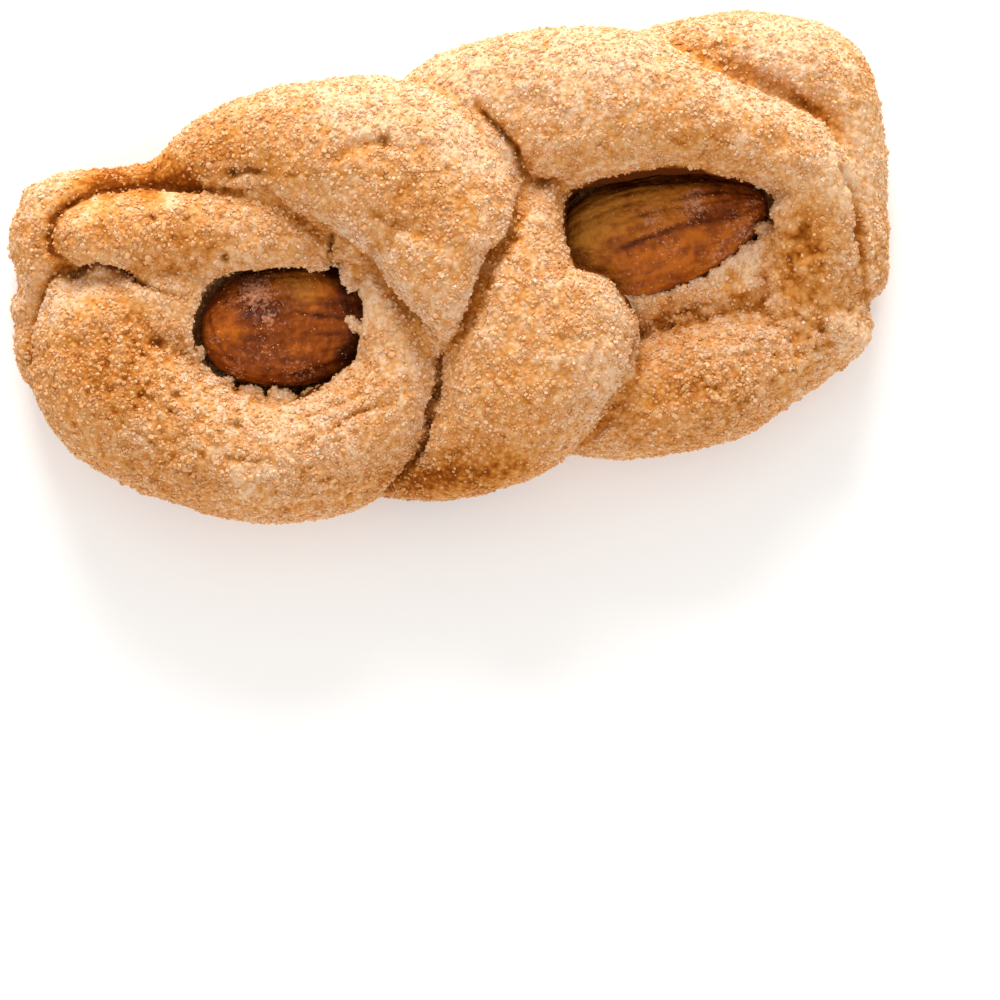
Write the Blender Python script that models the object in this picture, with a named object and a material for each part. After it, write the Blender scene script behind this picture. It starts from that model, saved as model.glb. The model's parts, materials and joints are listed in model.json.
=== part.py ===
"""Almond twist cookie: a loose plait of sugared dough strands with two whole almonds.

The cookie lies flat with its shown side up. +X runs along its length, +Y towards the edge
that stood uppermost, +Z up. The origin is the middle of the bottom of its box, on the tray
side. The dough is one solid, and each almond is its own.
"""
import math

import bmesh
import bpy
from mathutils import Matrix, Vector, noise

MM = 0.001

# Driving dimensions, in millimetres
BAKED_LENGTH = 91.0
BAKED_WIDTH = 44.5
ALMOND_LENGTH = 22.5
ALMOND_WIDTH = 12.6
ALMOND_THICKNESS = 8.4
LEFT_SOCKET_GAP = 0.7
RIGHT_SOCKET_GAP = 0.45
TRAY_LEVEL = 0.0

# Points nearer than this, in metres, are one
MERGE_DISTANCE = 0.00002

# How finely the dough is faceted
RING_SPACING = 2.0
RING_SIDES = 20
CAP_RINGS = 3
SECTION_POWER = 2.25
STATION_STEPS = 12

# Unevenness of hand-rolled dough: how far it moves the surface, and the size of its lumps
LUMP_DEPTH = 0.45
LUMP_SIZE = 9.0

# Strands as stations along their middles: x, y, half width, sole and crest, in millimetres.
# A sole just below the tray level is later cut flat, where the dough sat on the tray.
BAND_STRAND = [
    (-36.5, -5.0, 6.0, -0.6, 11.0),
    (-40.6, 0.5, 4.9, -0.6, 10.4),
    (-39.8, 6.4, 4.1, -0.6, 10.8),
    (-38.0, 12.4, 5.0, -0.6, 11.4),
    (-32.4, 13.0, 4.3, -0.6, 11.2),
    (-26.6, 13.2, 3.9, -0.6, 12.0),
    (-20.5, 15.0, 5.4, 0.0, 14.6),
    (-13.5, 14.2, 7.0, 2.5, 17.2),
    (-5.4, 11.2, 9.2, 5.5, 19.0),
    (-0.8, 5.8, 8.9, 6.5, 19.4),
    (-1.6, 1.6, 6.9, 7.0, 19.2),
    (-1.9, -2.4, 4.3, 7.5, 18.2),
    (-2.7, -6.6, 2.0, 7.0, 15.4),
    (1.0, -12.0, 4.5, 1.0, 10.0),
    (8.0, -15.0, 5.5, -0.6, 10.0),
    (15.0, -16.4, 6.1, -0.6, 12.2),
    (22.0, -16.6, 6.3, -0.6, 13.4),
    (28.0, -15.6, 5.8, -0.6, 12.4),
]
CRESCENT_STRAND = [
    (-35.8, 0.0, 7.6, 1.0, 14.6),
    (-35.4, -4.6, 8.4, 0.0, 15.4),
    (-29.8, -10.9, 7.2, -0.6, 15.8),
    (-22.5, -15.1, 6.2, -0.6, 15.4),
    (-14.5, -14.8, 6.5, -0.6, 15.8),
    (-8.4, -9.8, 5.7, 0.5, 15.2),
    (-7.2, -2.0, 4.5, 1.5, 14.2),
    (-7.2, 5.0, 4.9, 1.5, 12.6),
    (-3.5, 12.0, 5.0, -0.6, 10.0),
    (4.0, 14.6, 6.8, -0.4, 13.8),
    (11.0, 13.6, 8.4, 2.5, 17.4),
    (18.0, 12.6, 8.2, 4.5, 18.6),
    (23.8, 10.8, 6.8, 4.5, 18.4),
    (28.6, 8.5, 5.3, 4.0, 17.8),
    (33.4, 5.6, 4.6, 2.0, 16.8),
    (37.2, 1.4, 4.7, 0.5, 15.6),
    (36.9, -5.0, 4.1, -0.3, 13.6),
    (35.2, -10.6, 4.2, -0.6, 11.0),
]
MIDDLE_STRAND = [
    (-14.0, -15.8, 4.0, -0.4, 9.0),
    (-7.0, -18.0, 4.4, -0.6, 11.0),
    (-1.4, -17.0, 6.0, 0.0, 15.2),
    (3.4, -13.6, 8.5, 3.0, 17.8),
    (7.2, -8.2, 9.8, 5.0, 18.6),
    (7.0, -2.6, 5.8, 5.5, 17.8),
    (9.0, 3.2, 3.2, 5.0, 15.4),
    (12.5, 8.5, 3.6, 1.0, 10.0),
    (18.0, 13.0, 5.0, -0.6, 10.0),
    (25.5, 14.0, 6.0, -0.6, 12.2),
    (32.8, 13.2, 6.1, -0.6, 13.2),
    (39.4, 10.6, 5.6, -0.6, 13.0),
    (40.8, 3.6, 4.3, -0.6, 12.2),
    (40.0, -3.4, 3.9, -0.6, 11.6),
    (39.4, -8.2, 3.7, -0.6, 10.8),
]
FINGER_STRAND = [
    (-35.2, 10.2, 3.7, 4.0, 14.4),
    (-29.0, 9.5, 4.9, 3.6, 15.2),
    (-22.0, 8.0, 5.2, 3.0, 15.4),
    (-15.0, 6.4, 5.0, 3.0, 14.8),
    (-10.5, 4.4, 4.0, 2.0, 12.0),
]
HEEL_STRAND = [
    (30.0, -14.6, 5.8, -0.6, 10.8),
    (35.4, -13.0, 4.8, -0.6, 10.4),
]
INNER_STRAND = [
    (-30.8, 2.6, 6.2, -0.6, 14.0),
    (-27.0, 1.6, 8.5, -0.6, 13.2),
    (-19.0, -1.0, 13.0, -0.6, 6.2),
    (-6.0, -0.5, 15.0, -0.6, 9.0),
    (8.0, -1.0, 15.0, -0.6, 8.0),
    (22.0, -1.0, 14.0, -0.6, 6.4),
    (33.0, -2.0, 9.0, -0.6, 9.4),
]
UNDERSIDE_STRAND = [
    (-33.0, 2.0, 11.0, -2.5, 5.0),
    (-22.0, 0.0, 16.0, -2.5, 5.0),
    (-6.0, -0.5, 18.0, -2.5, 5.0),
    (10.0, -0.5, 18.0, -2.5, 5.0),
    (24.0, -0.5, 16.5, -2.5, 5.0),
    (31.0, -1.0, 11.0, -2.5, 5.0),
]

# Torn crags at the right end: x, y, height of the middle, radius
CRAGS = [
    (27.0, -7.4, 7.8, 3.8),
    (30.8, -5.6, 8.8, 3.2),
    (22.8, -9.0, 6.2, 2.6),
    (33.2, -9.8, 9.6, 3.2),
    (35.6, -6.0, 11.8, 2.6),
    (38.6, -7.0, 10.2, 2.2),
    (31.8, -13.8, 9.2, 3.2),
    (36.4, -13.4, 8.8, 3.4),
    (40.4, -9.8, 7.6, 2.2),
    (34.4, -1.6, 13.0, 2.4),
]
CRAG_ROUGHNESS = 0.26
CRAG_FLATNESS = 0.62

# Almonds: x, y and height of the middle, turn from +X, and how far the pointed end dips
ALMOND_LEFT_PLACE = (-15.4, -2.4, 8.9)
ALMOND_LEFT_TURN = -5.0
ALMOND_LEFT_DIP = 10.0
ALMOND_RIGHT_PLACE = (20.9, -0.9, 8.8)
ALMOND_RIGHT_TURN = 4.0
ALMOND_RIGHT_DIP = 0.0


def clear_scene():
    for old in list(bpy.data.objects):
        bpy.data.objects.remove(old, do_unlink=True)


def plain_material(name, colour, roughness):
    material = bpy.data.materials.new(name)
    material.use_nodes = True
    shader = material.node_tree.nodes["Principled BSDF"]
    shader.inputs["Base Color"].default_value = (*colour, 1.0)
    shader.inputs["Roughness"].default_value = roughness
    shader.inputs["Metallic"].default_value = 0.0
    return material


def between(before, start, end, after, share):
    """A Catmull-Rom curve's value at a share of the way from start to end."""
    line = end - before
    curve = 2.0 * before - 5.0 * start + 4.0 * end - after
    turn = 3.0 * start - before - 3.0 * end + after
    return 0.5 * (2.0 * start + line * share + curve * share ** 2 + turn * share ** 3)


def smooth_stations(stations):
    """Rows of x, y, half width, sole and crest at an even spacing along a strand."""
    ends_added = [stations[0]] + list(stations) + [stations[-1]]
    fine = []
    for index in range(1, len(ends_added) - 2):
        window = ends_added[index - 1:index + 3]
        for step in range(STATION_STEPS):
            share = step / STATION_STEPS
            fine.append([between(*values, share) for values in zip(*window)])
    fine.append(list(stations[-1]))
    kept = [fine[0]]
    travelled = 0.0
    for earlier, later in zip(fine, fine[1:]):
        travelled += math.dist(earlier[:2], later[:2])
        if travelled >= RING_SPACING:
            kept.append(later)
            travelled = 0.0
    return kept


def rounded_power(value):
    """Squares off a sine or cosine, so that a ring is a plump superellipse."""
    return math.copysign(abs(value) ** (2.0 / SECTION_POWER), value)


def add_ring(mesh, middle, side, up, half_width, half_height):
    ring = []
    for corner in range(RING_SIDES):
        angle = 2.0 * math.pi * corner / RING_SIDES
        across = half_width * rounded_power(math.cos(angle))
        rise = half_height * rounded_power(math.sin(angle))
        ring.append(mesh.verts.new(middle + side * across + up * rise))
    return ring


def strand(name, stations):
    """A closed tube of dough with rounded ends, swept through its stations."""
    rows = smooth_stations(stations)
    middles = [Vector((row[0], row[1], 0.5 * (row[3] + row[4]))) for row in rows]
    mesh = bmesh.new()
    rings = []
    last = len(rows) - 1
    for index, row in enumerate(rows):
        ahead = (middles[min(index + 1, last)] - middles[max(index - 1, 0)]).normalized()
        side = Vector((-ahead.y, ahead.x, 0.0)).normalized()
        up = ahead.cross(side)
        half_width = row[2]
        half_height = 0.5 * (row[4] - row[3])
        if index in (0, last):
            outwards = -ahead if index == 0 else ahead
            cap = []
            for step in range(1, CAP_RINGS + 1):
                lean = 0.5 * math.pi * step / (CAP_RINGS + 0.6)
                reach = half_width * math.sin(lean)
                shrink = math.cos(lean)
                cap.append(add_ring(mesh, middles[index] + outwards * reach, side, up,
                                    half_width * shrink, half_height * shrink))
        ring = add_ring(mesh, middles[index], side, up, half_width, half_height)
        if index == 0:
            rings += list(reversed(cap)) + [ring]
        elif index == last:
            rings += [ring] + cap
        else:
            rings.append(ring)
    for near, far in zip(rings, rings[1:]):
        for corner in range(RING_SIDES):
            following = (corner + 1) % RING_SIDES
            mesh.faces.new((near[corner], near[following], far[following], far[corner]))
    mesh.faces.new(list(reversed(rings[0])))
    mesh.faces.new(rings[-1])
    roughen(mesh, LUMP_DEPTH, LUMP_SIZE)
    return finished_object(name, mesh)


def roughen(mesh, depth, size):
    """Moves each point a little along its normal, by smooth noise that is the same each run."""
    mesh.normal_update()
    for point in mesh.verts:
        point.co += point.normal * depth * noise.noise(point.co / size)


def crag(name, x, y, z, radius):
    """A rough lump of torn dough."""
    mesh = bmesh.new()
    shape = Matrix.Translation((x, y, z)) @ Matrix.Diagonal((1.0, 1.0, CRAG_FLATNESS, 1.0))
    bmesh.ops.create_icosphere(mesh, subdivisions=2, radius=radius, matrix=shape)
    roughen(mesh, CRAG_ROUGHNESS * radius, 0.7 * radius)
    return finished_object(name, mesh)


def finished_object(name, mesh):
    """Turns a bmesh drawn in millimetres into an object in metres with its faces outwards."""
    bmesh.ops.scale(mesh, vec=(MM, MM, MM), verts=mesh.verts)
    bmesh.ops.recalc_face_normals(mesh, faces=mesh.faces)
    data = bpy.data.meshes.new(name)
    mesh.to_mesh(data)
    mesh.free()
    made = bpy.data.objects.new(name, data)
    bpy.context.scene.collection.objects.link(made)
    return made


def almond_radius(share):
    """Half width of an almond, as a share of its widest, from blunt end -1 to point +1."""
    blunt = math.sqrt(max(0.0, 1.0 - share ** 2))
    point = 1.0 - 0.20 * share
    return blunt * point / 1.02


def almond(name, place, turn, dip, swell=0.0):
    """A whole almond: a flattened drop with a blunt end and a pointed one."""
    rings_along = 15
    sides = 24
    mesh = bmesh.new()
    rings = []
    for index in range(1, rings_along):
        share = -math.cos(math.pi * index / rings_along)
        along = 0.5 * ALMOND_LENGTH * share
        radius = almond_radius(share)
        ring = []
        for corner in range(sides):
            angle = 2.0 * math.pi * corner / sides
            across = 0.5 * ALMOND_WIDTH * radius * math.cos(angle)
            rise = 0.5 * ALMOND_THICKNESS * radius ** 0.8 * math.sin(angle)
            ring.append(mesh.verts.new((along, across, rise)))
        rings.append(ring)
    blunt_end = mesh.verts.new((-0.5 * ALMOND_LENGTH, 0.0, 0.0))
    pointed_end = mesh.verts.new((0.5 * ALMOND_LENGTH, 0.0, 0.0))
    for near, far in zip(rings, rings[1:]):
        for corner in range(sides):
            following = (corner + 1) % sides
            mesh.faces.new((near[corner], near[following], far[following], far[corner]))
    for corner in range(sides):
        following = (corner + 1) % sides
        mesh.faces.new((blunt_end, rings[0][following], rings[0][corner]))
        mesh.faces.new((pointed_end, rings[-1][corner], rings[-1][following]))
    mesh.normal_update()
    for point in mesh.verts:
        point.co += point.normal * swell
    pose = Matrix.Translation(place)
    pose @= Matrix.Rotation(math.radians(turn), 4, "Z")
    pose @= Matrix.Rotation(math.radians(dip), 4, "Y")
    bmesh.ops.transform(mesh, matrix=pose, verts=mesh.verts)
    return finished_object(name, mesh)


def tray_block(name):
    """Everything below the tray level, which the dough's underside is cut flat against."""
    depth = 20.0
    mesh = bmesh.new()
    bmesh.ops.create_cube(mesh, size=1.0)
    bmesh.ops.scale(mesh, vec=(2.0 * BAKED_LENGTH, 2.0 * BAKED_WIDTH, depth), verts=mesh.verts)
    bmesh.ops.translate(mesh, vec=(0.0, 0.0, TRAY_LEVEL - 0.5 * depth), verts=mesh.verts)
    return finished_object(name, mesh)


def apply_boolean(target, operation, tools):
    """Joins the tools to the target, or cuts them from it, and removes them."""
    group = bpy.data.collections.new(operation)
    for tool in tools:
        group.objects.link(tool)
    change = target.modifiers.new(operation, "BOOLEAN")
    change.operand_type = "COLLECTION"
    change.collection = group
    change.operation = operation
    change.solver = "EXACT"
    shaped = bpy.data.meshes.new_from_object(
        target.evaluated_get(bpy.context.evaluated_depsgraph_get()))
    target.modifiers.clear()
    target.data = shaped
    for tool in tools:
        bpy.data.objects.remove(tool, do_unlink=True)
    bpy.data.collections.remove(group)


def keep_largest_body(target):
    """Fills the sealed hollows and drops the scraps that joining or cutting can leave."""
    mesh = bmesh.new()
    mesh.from_mesh(target.data)
    bmesh.ops.remove_doubles(mesh, verts=mesh.verts, dist=MERGE_DISTANCE)
    bmesh.ops.triangulate(mesh, faces=mesh.faces)
    waiting = set(mesh.faces)
    bodies = []
    while waiting:
        body = [waiting.pop()]
        for face in body:
            for edge in face.edges:
                if len(edge.link_faces) != 2:
                    continue
                for other in edge.link_faces:
                    if other in waiting:
                        waiting.discard(other)
                        body.append(other)
        bodies.append(body)
    bodies.sort(key=len, reverse=True)
    for body in bodies[1:]:
        bmesh.ops.delete(mesh, geom=body, context="FACES")
    loose = [point for point in mesh.verts if not point.link_faces]
    bmesh.ops.delete(mesh, geom=loose, context="VERTS")
    mesh.to_mesh(target.data)
    mesh.free()


def make_dough():
    """The plait: every strand and crag joined, flat where it sat on the tray."""
    dough = strand("dough", CRESCENT_STRAND)
    others = [
        strand("band", BAND_STRAND),
        strand("middle", MIDDLE_STRAND),
        strand("finger", FINGER_STRAND),
        strand("heel", HEEL_STRAND),
        strand("inner", INNER_STRAND),
        strand("underside", UNDERSIDE_STRAND),
    ]
    for number, place in enumerate(CRAGS):
        others.append(crag(f"crag_{number}", *place))
    apply_boolean(dough, "UNION", others)
    cutters = [
        tray_block("tray"),
        almond("socket_left", ALMOND_LEFT_PLACE, ALMOND_LEFT_TURN, ALMOND_LEFT_DIP,
               LEFT_SOCKET_GAP),
        almond("socket_right", ALMOND_RIGHT_PLACE, ALMOND_RIGHT_TURN, ALMOND_RIGHT_DIP,
               RIGHT_SOCKET_GAP),
    ]
    apply_boolean(dough, "DIFFERENCE", cutters)
    keep_largest_body(dough)
    return dough


def centre_on_origin(dough, pieces):
    """Moves every piece so that the dough's box stands centred on the origin."""
    corners = [point.co for point in dough.data.vertices]
    middle = Vector((
        0.5 * (min(c.x for c in corners) + max(c.x for c in corners)),
        0.5 * (min(c.y for c in corners) + max(c.y for c in corners)),
        min(c.z for c in corners),
    ))
    for piece in pieces:
        piece.data.transform(Matrix.Translation(-middle))


def main():
    clear_scene()
    dough_material = plain_material("sugared_dough", (0.62, 0.34, 0.13), 0.75)
    almond_material = plain_material("almond_skin", (0.26, 0.075, 0.02), 0.35)
    dough = make_dough()
    dough.data.materials.clear()
    dough.data.materials.append(dough_material)
    left = almond("almond_left", ALMOND_LEFT_PLACE, ALMOND_LEFT_TURN, ALMOND_LEFT_DIP)
    right = almond("almond_right", ALMOND_RIGHT_PLACE, ALMOND_RIGHT_TURN, ALMOND_RIGHT_DIP)
    for nut in (left, right):
        nut.data.materials.append(almond_material)
    centre_on_origin(dough, (dough, left, right))
    for piece in (dough, left, right):
        piece.data.shade_smooth()
        piece.data.set_sharp_from_angle(angle=math.radians(55.0))


main()
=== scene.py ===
# %% [markdown]
# Almond twist cookie.
# The real thing is a loose plait of short dough, rolled in sugar, with two whole almonds pressed
# into the hollows between the strands, and baked until its lower edges are golden. The packed
# solids already hold its true size and its main form. This lesson dresses them: it sweeps the
# same strands again with far finer rings, melts them into one skin, adds what baking does to
# dough, and then sprinkles real grains of sugar on it.
#
# The frame comes first, because every later piece has to lie where the solids lie.

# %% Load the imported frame
import json
import math

import bmesh
import bpy
import numpy as np
from mathutils import Matrix, Vector, noise
from mathutils.bvhtree import BVHTree

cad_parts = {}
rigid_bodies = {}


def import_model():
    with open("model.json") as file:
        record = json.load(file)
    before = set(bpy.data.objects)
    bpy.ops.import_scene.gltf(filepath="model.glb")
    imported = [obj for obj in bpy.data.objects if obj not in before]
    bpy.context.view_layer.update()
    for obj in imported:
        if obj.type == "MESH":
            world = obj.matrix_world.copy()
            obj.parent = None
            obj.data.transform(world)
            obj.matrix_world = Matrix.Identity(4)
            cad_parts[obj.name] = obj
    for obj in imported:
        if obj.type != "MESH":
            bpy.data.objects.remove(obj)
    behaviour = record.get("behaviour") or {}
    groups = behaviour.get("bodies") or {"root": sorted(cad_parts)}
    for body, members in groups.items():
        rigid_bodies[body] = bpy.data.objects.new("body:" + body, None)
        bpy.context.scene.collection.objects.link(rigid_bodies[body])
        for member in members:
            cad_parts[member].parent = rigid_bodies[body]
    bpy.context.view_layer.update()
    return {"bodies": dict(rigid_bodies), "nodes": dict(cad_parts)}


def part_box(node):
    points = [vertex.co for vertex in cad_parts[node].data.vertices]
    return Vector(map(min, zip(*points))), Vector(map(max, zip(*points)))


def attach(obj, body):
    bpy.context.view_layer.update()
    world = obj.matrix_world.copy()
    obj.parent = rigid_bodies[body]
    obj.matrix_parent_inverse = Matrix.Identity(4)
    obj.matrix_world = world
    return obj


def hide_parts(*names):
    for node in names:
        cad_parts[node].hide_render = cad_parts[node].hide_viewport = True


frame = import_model()

BODY = next(iter(frame["bodies"]))
MM = 0.001
print("nodes", sorted(frame["nodes"]), "body", BODY)

# %% [markdown]
# A baker rolls a rope of dough and lays it in loops. So the natural description of the cookie
# is a few lines on the tray, each with a width, an underside and a top. Each row below is one
# station along a strand: x, y, half width, sole and crest, all in millimetres, as in the
# part's own source. A sole just under zero is later pressed flat against the tray.

# %% The strands' stations
BAND = [
    (-36.5, -5.0, 6.0, -0.6, 11.0), (-40.6, 0.5, 4.9, -0.6, 10.4), (-39.8, 6.4, 4.1, -0.6, 10.8),
    (-38.0, 12.4, 5.0, -0.6, 11.4), (-32.4, 13.0, 4.3, -0.6, 11.2), (-26.6, 13.2, 3.9, -0.6, 12.0),
    (-20.5, 15.0, 5.4, 0.0, 14.6), (-13.5, 14.2, 7.0, 2.5, 17.2), (-5.4, 11.2, 9.2, 5.5, 19.0),
    (-0.8, 5.8, 8.9, 6.5, 19.4), (-1.6, 1.6, 6.9, 7.0, 19.2), (-1.9, -2.4, 4.3, 7.5, 18.2),
    (-2.7, -6.6, 2.0, 7.0, 15.4), (1.0, -12.0, 4.5, 1.0, 10.0), (8.0, -15.0, 5.5, -0.6, 10.0),
    (15.0, -16.4, 6.1, -0.6, 12.2), (22.0, -16.6, 6.3, -0.6, 13.4), (28.0, -15.6, 5.8, -0.6, 12.4),
]
CRESCENT = [
    (-35.8, 0.0, 7.6, 1.0, 14.6), (-35.4, -4.6, 8.4, 0.0, 15.4), (-29.8, -10.9, 7.2, -0.6, 15.8),
    (-22.5, -15.1, 6.2, -0.6, 15.4), (-14.5, -14.8, 6.5, -0.6, 15.8), (-8.4, -9.8, 5.7, 0.5, 15.2),
    (-7.2, -2.0, 4.5, 1.5, 14.2), (-7.2, 5.0, 4.9, 1.5, 12.6), (-3.5, 12.0, 5.0, -0.6, 10.0),
    (4.0, 14.6, 6.8, -0.4, 13.8), (11.0, 13.6, 8.4, 2.5, 17.4), (18.0, 12.6, 8.2, 4.5, 18.6),
    (23.8, 10.8, 6.8, 4.5, 18.4), (28.6, 8.5, 5.3, 4.0, 17.8), (33.4, 5.6, 4.6, 2.0, 16.8),
    (37.2, 1.4, 4.7, 0.5, 15.6), (36.9, -5.0, 4.1, -0.3, 13.6), (35.2, -10.6, 4.2, -0.6, 11.0),
]
MIDDLE = [
    (-14.0, -15.8, 4.0, -0.4, 9.0), (-7.0, -18.0, 4.4, -0.6, 11.0), (-1.4, -17.0, 6.0, 0.0, 15.2),
    (3.4, -13.6, 8.5, 3.0, 17.8), (7.2, -8.2, 9.8, 5.0, 18.6), (7.0, -2.6, 5.8, 5.5, 17.8),
    (9.0, 3.2, 3.2, 5.0, 15.4), (12.5, 8.5, 3.6, 1.0, 10.0), (18.0, 13.0, 5.0, -0.6, 10.0),
    (25.5, 14.0, 6.0, -0.6, 12.2), (32.8, 13.2, 6.1, -0.6, 13.2), (39.4, 10.6, 5.6, -0.6, 13.0),
    (40.8, 3.6, 4.3, -0.6, 12.2), (40.0, -3.4, 3.9, -0.6, 11.6), (39.4, -8.2, 3.7, -0.6, 10.8),
]
FINGER = [
    (-35.2, 10.2, 3.7, 4.0, 14.4), (-29.0, 9.5, 4.9, 3.6, 15.2), (-22.0, 8.0, 5.2, 3.0, 15.4),
    (-15.0, 6.4, 5.0, 3.0, 14.8), (-10.5, 4.4, 4.0, 2.0, 12.0),
]
HEEL = [
    (30.0, -14.6, 5.8, -0.6, 10.8), (35.4, -13.0, 4.8, -0.6, 10.4),
]
INNER = [
    (-30.8, 2.6, 6.2, -0.6, 14.0), (-27.0, 1.6, 8.5, -0.6, 13.2), (-19.0, -1.0, 13.0, -0.6, 6.2),
    (-6.0, -0.5, 15.0, -0.6, 9.0), (8.0, -1.0, 15.0, -0.6, 8.0), (22.0, -1.0, 14.0, -0.6, 6.4),
    (33.0, -2.0, 9.0, -0.6, 9.4),
]
UNDERSIDE = [
    (-33.0, 2.0, 11.0, -2.5, 5.0), (-22.0, 0.0, 16.0, -2.5, 5.0), (-6.0, -0.5, 18.0, -2.5, 5.0),
    (10.0, -0.5, 18.0, -2.5, 5.0), (24.0, -0.5, 16.5, -2.5, 5.0), (31.0, -1.0, 11.0, -2.5, 5.0),
]
STRANDS = [BAND, CRESCENT, MIDDLE, FINGER, HEEL, INNER, UNDERSIDE]
print(len(STRANDS), "strands,", sum(len(s) for s in STRANDS), "stations")

# %% [markdown]
# Between two stations the rope bends smoothly, so a Catmull-Rom curve, which goes through
# every station, fits better than straight runs. The curve is read off at an even spacing,
# because even rings give even facets.

# %% Smooth rows along a strand
RING_SPACING = 0.5
STEPS_PER_STATION = 40


def smooth_rows(stations):
    """Rows of x, y, half width, sole and crest, evenly spaced along a strand."""
    given = np.array([stations[0], *stations, stations[-1]], float)
    share = np.linspace(0.0, 1.0, STEPS_PER_STATION, endpoint=False)[:, None]
    pieces = []
    for before, start, end, after in zip(given, given[1:], given[2:], given[3:]):
        line = end - before
        curve = 2.0 * before - 5.0 * start + 4.0 * end - after
        turn = 3.0 * start - before - 3.0 * end + after
        pieces.append(0.5 * (2.0 * start + line * share + curve * share ** 2 + turn * share ** 3))
    fine = np.vstack([*pieces, given[-1:]])
    travelled = np.concatenate([[0.0], np.cumsum(np.hypot(*np.diff(fine[:, :2], axis=0).T))])
    wanted = np.linspace(0.0, travelled[-1], int(travelled[-1] / RING_SPACING) + 1)
    return np.column_stack([np.interp(wanted, travelled, column) for column in fine.T])


print("rows of the band:", len(smooth_rows(BAND)))

# %% [markdown]
# A section of soft dough is a plump ellipse, a little squarer than a true one, since the
# rope settles under its own weight. A superellipse with a power just over two has that form.
# The rope's two ends are drawn in over a few rings, as a torn or rolled end is.

# %% Sweep a section along a strand
RING_SIDES = 72
CAP_RINGS = 9
CAP_TUCK = 0.6
SECTION_POWER = 2.25


def section():
    """Across and rise of a superellipse of half width 1, once round."""
    angle = np.linspace(0.0, 2.0 * math.pi, RING_SIDES, endpoint=False)
    power = 2.0 / SECTION_POWER
    across = np.sign(np.cos(angle)) * np.abs(np.cos(angle)) ** power
    rise = np.sign(np.sin(angle)) * np.abs(np.sin(angle)) ** power
    return across, rise


def ring_frames(rows):
    """Middle, forward, sideways and upward direction of each ring."""
    middle = np.column_stack([rows[:, 0], rows[:, 1], 0.5 * (rows[:, 3] + rows[:, 4])])
    ahead = np.vstack([middle[1:2] - middle[:1], middle[2:] - middle[:-2],
                       middle[-1:] - middle[-2:-1]])
    ahead /= np.linalg.norm(ahead, axis=1)[:, None]
    side = np.column_stack([-ahead[:, 1], ahead[:, 0], np.zeros(len(ahead))])
    side /= np.linalg.norm(side, axis=1)[:, None]
    return middle, ahead, side, np.cross(ahead, side)


def sweep(stations):
    """Points, faces, and each ring's frame and half sizes, of one closed strand."""
    rows = smooth_rows(stations)
    middle, ahead, side, up = ring_frames(rows)
    half = np.column_stack([rows[:, 2], 0.5 * (rows[:, 4] - rows[:, 3])])
    lean = 0.5 * math.pi * np.arange(CAP_RINGS, 0, -1) / (CAP_RINGS + CAP_TUCK)
    keep, shrink = np.sin(lean)[:, None], np.cos(lean)[:, None]
    first = middle[0] - ahead[0] * half[0, 0] * keep
    last = middle[-1] + ahead[-1] * half[-1, 0] * keep[::-1]
    middle = np.vstack([first, middle, last])
    half = np.vstack([half[0] * shrink, half, half[-1] * shrink[::-1]])
    pad = ((CAP_RINGS, CAP_RINGS), (0, 0))
    ahead, side, up = (np.pad(way, pad, mode="edge") for way in (ahead, side, up))
    across, rise = section()
    rings = (middle[:, None] + side[:, None] * (half[:, :1] * across)[:, :, None]
             + up[:, None] * (half[:, 1:] * rise)[:, :, None])
    points = np.vstack([rings.reshape(-1, 3), middle[:1], middle[-1:]])
    return points, tube_faces(len(middle)), (middle, ahead, side, up, half)


def tube_faces(ring_count):
    """Quads between neighbouring rings, and a fan of triangles at each end."""
    corner = np.arange(RING_SIDES)
    following = (corner + 1) % RING_SIDES
    faces = []
    for ring in range(ring_count - 1):
        near, far = ring * RING_SIDES, (ring + 1) * RING_SIDES
        faces += np.column_stack([near + corner, near + following,
                                  far + following, far + corner]).tolist()
    start, end = ring_count * RING_SIDES, ring_count * RING_SIDES + 1
    last = (ring_count - 1) * RING_SIDES
    faces += [[start, int(b), int(a)] for a, b in zip(corner, following)]
    faces += [[end, int(a) + last, int(b) + last] for a, b in zip(corner, following)]
    return faces


swept = [sweep(stations) for stations in STRANDS]
print("points per strand:", [len(points) for points, _, _ in swept])

# %% [markdown]
# Hand-rolled dough is never an even pipe. Low, wide lumps, a few millimetres across, come
# from smooth noise pushed along the normal. It is the noise of the solids, so the skin keeps
# their form. The right end is torn and rough, so lumps of crag are laid there as well.

# %% Lumps and crags
LUMP_DEPTH = 0.45
LUMP_SIZE = 9.0
CRAGS = [
    (27.0, -7.4, 7.8, 3.8), (30.8, -5.6, 8.8, 3.2), (22.8, -9.0, 6.2, 2.6), (33.2, -9.8, 9.6, 3.2),
    (35.6, -6.0, 11.8, 2.6), (38.6, -7.0, 10.2, 2.2), (31.8, -13.8, 9.2, 3.2), (36.4, -13.4, 8.8, 3.4),
    (40.4, -9.8, 7.6, 2.2), (34.4, -1.6, 13.0, 2.4),
]
CRAG_ROUGHNESS = 0.26
CRAG_FLATNESS = 0.62
CRAG_GRAIN = 0.7
CRAG_SUBDIVISIONS = 4
# Finer lumps between the crags: x, y, z and radius
INFILL = [
    (34.4, -4.0, 11.2, 3.0), (33.4, -7.0, 10.2, 3.2), (36.8, -3.4, 12.0, 2.4), (36.6, -9.6, 9.8, 2.4),
    (29.6, -6.8, 8.6, 3.0), (30.4, -4.4, 9.8, 2.2), (27.6, -6.4, 9.4, 2.5), (24.6, -7.6, 9.2, 2.6),
    (21.4, -8.0, 9.1, 2.4), (18.4, -8.0, 8.9, 2.3), (16.6, -9.0, 8.0, 2.0), (-8.2, 2.4, 12.0, 2.2),
    (-9.0, 5.0, 13.4, 2.9), (-11.0, 8.0, 12.6, 2.5), (-7.5, 4.8, 14.6, 2.3),
]
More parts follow.
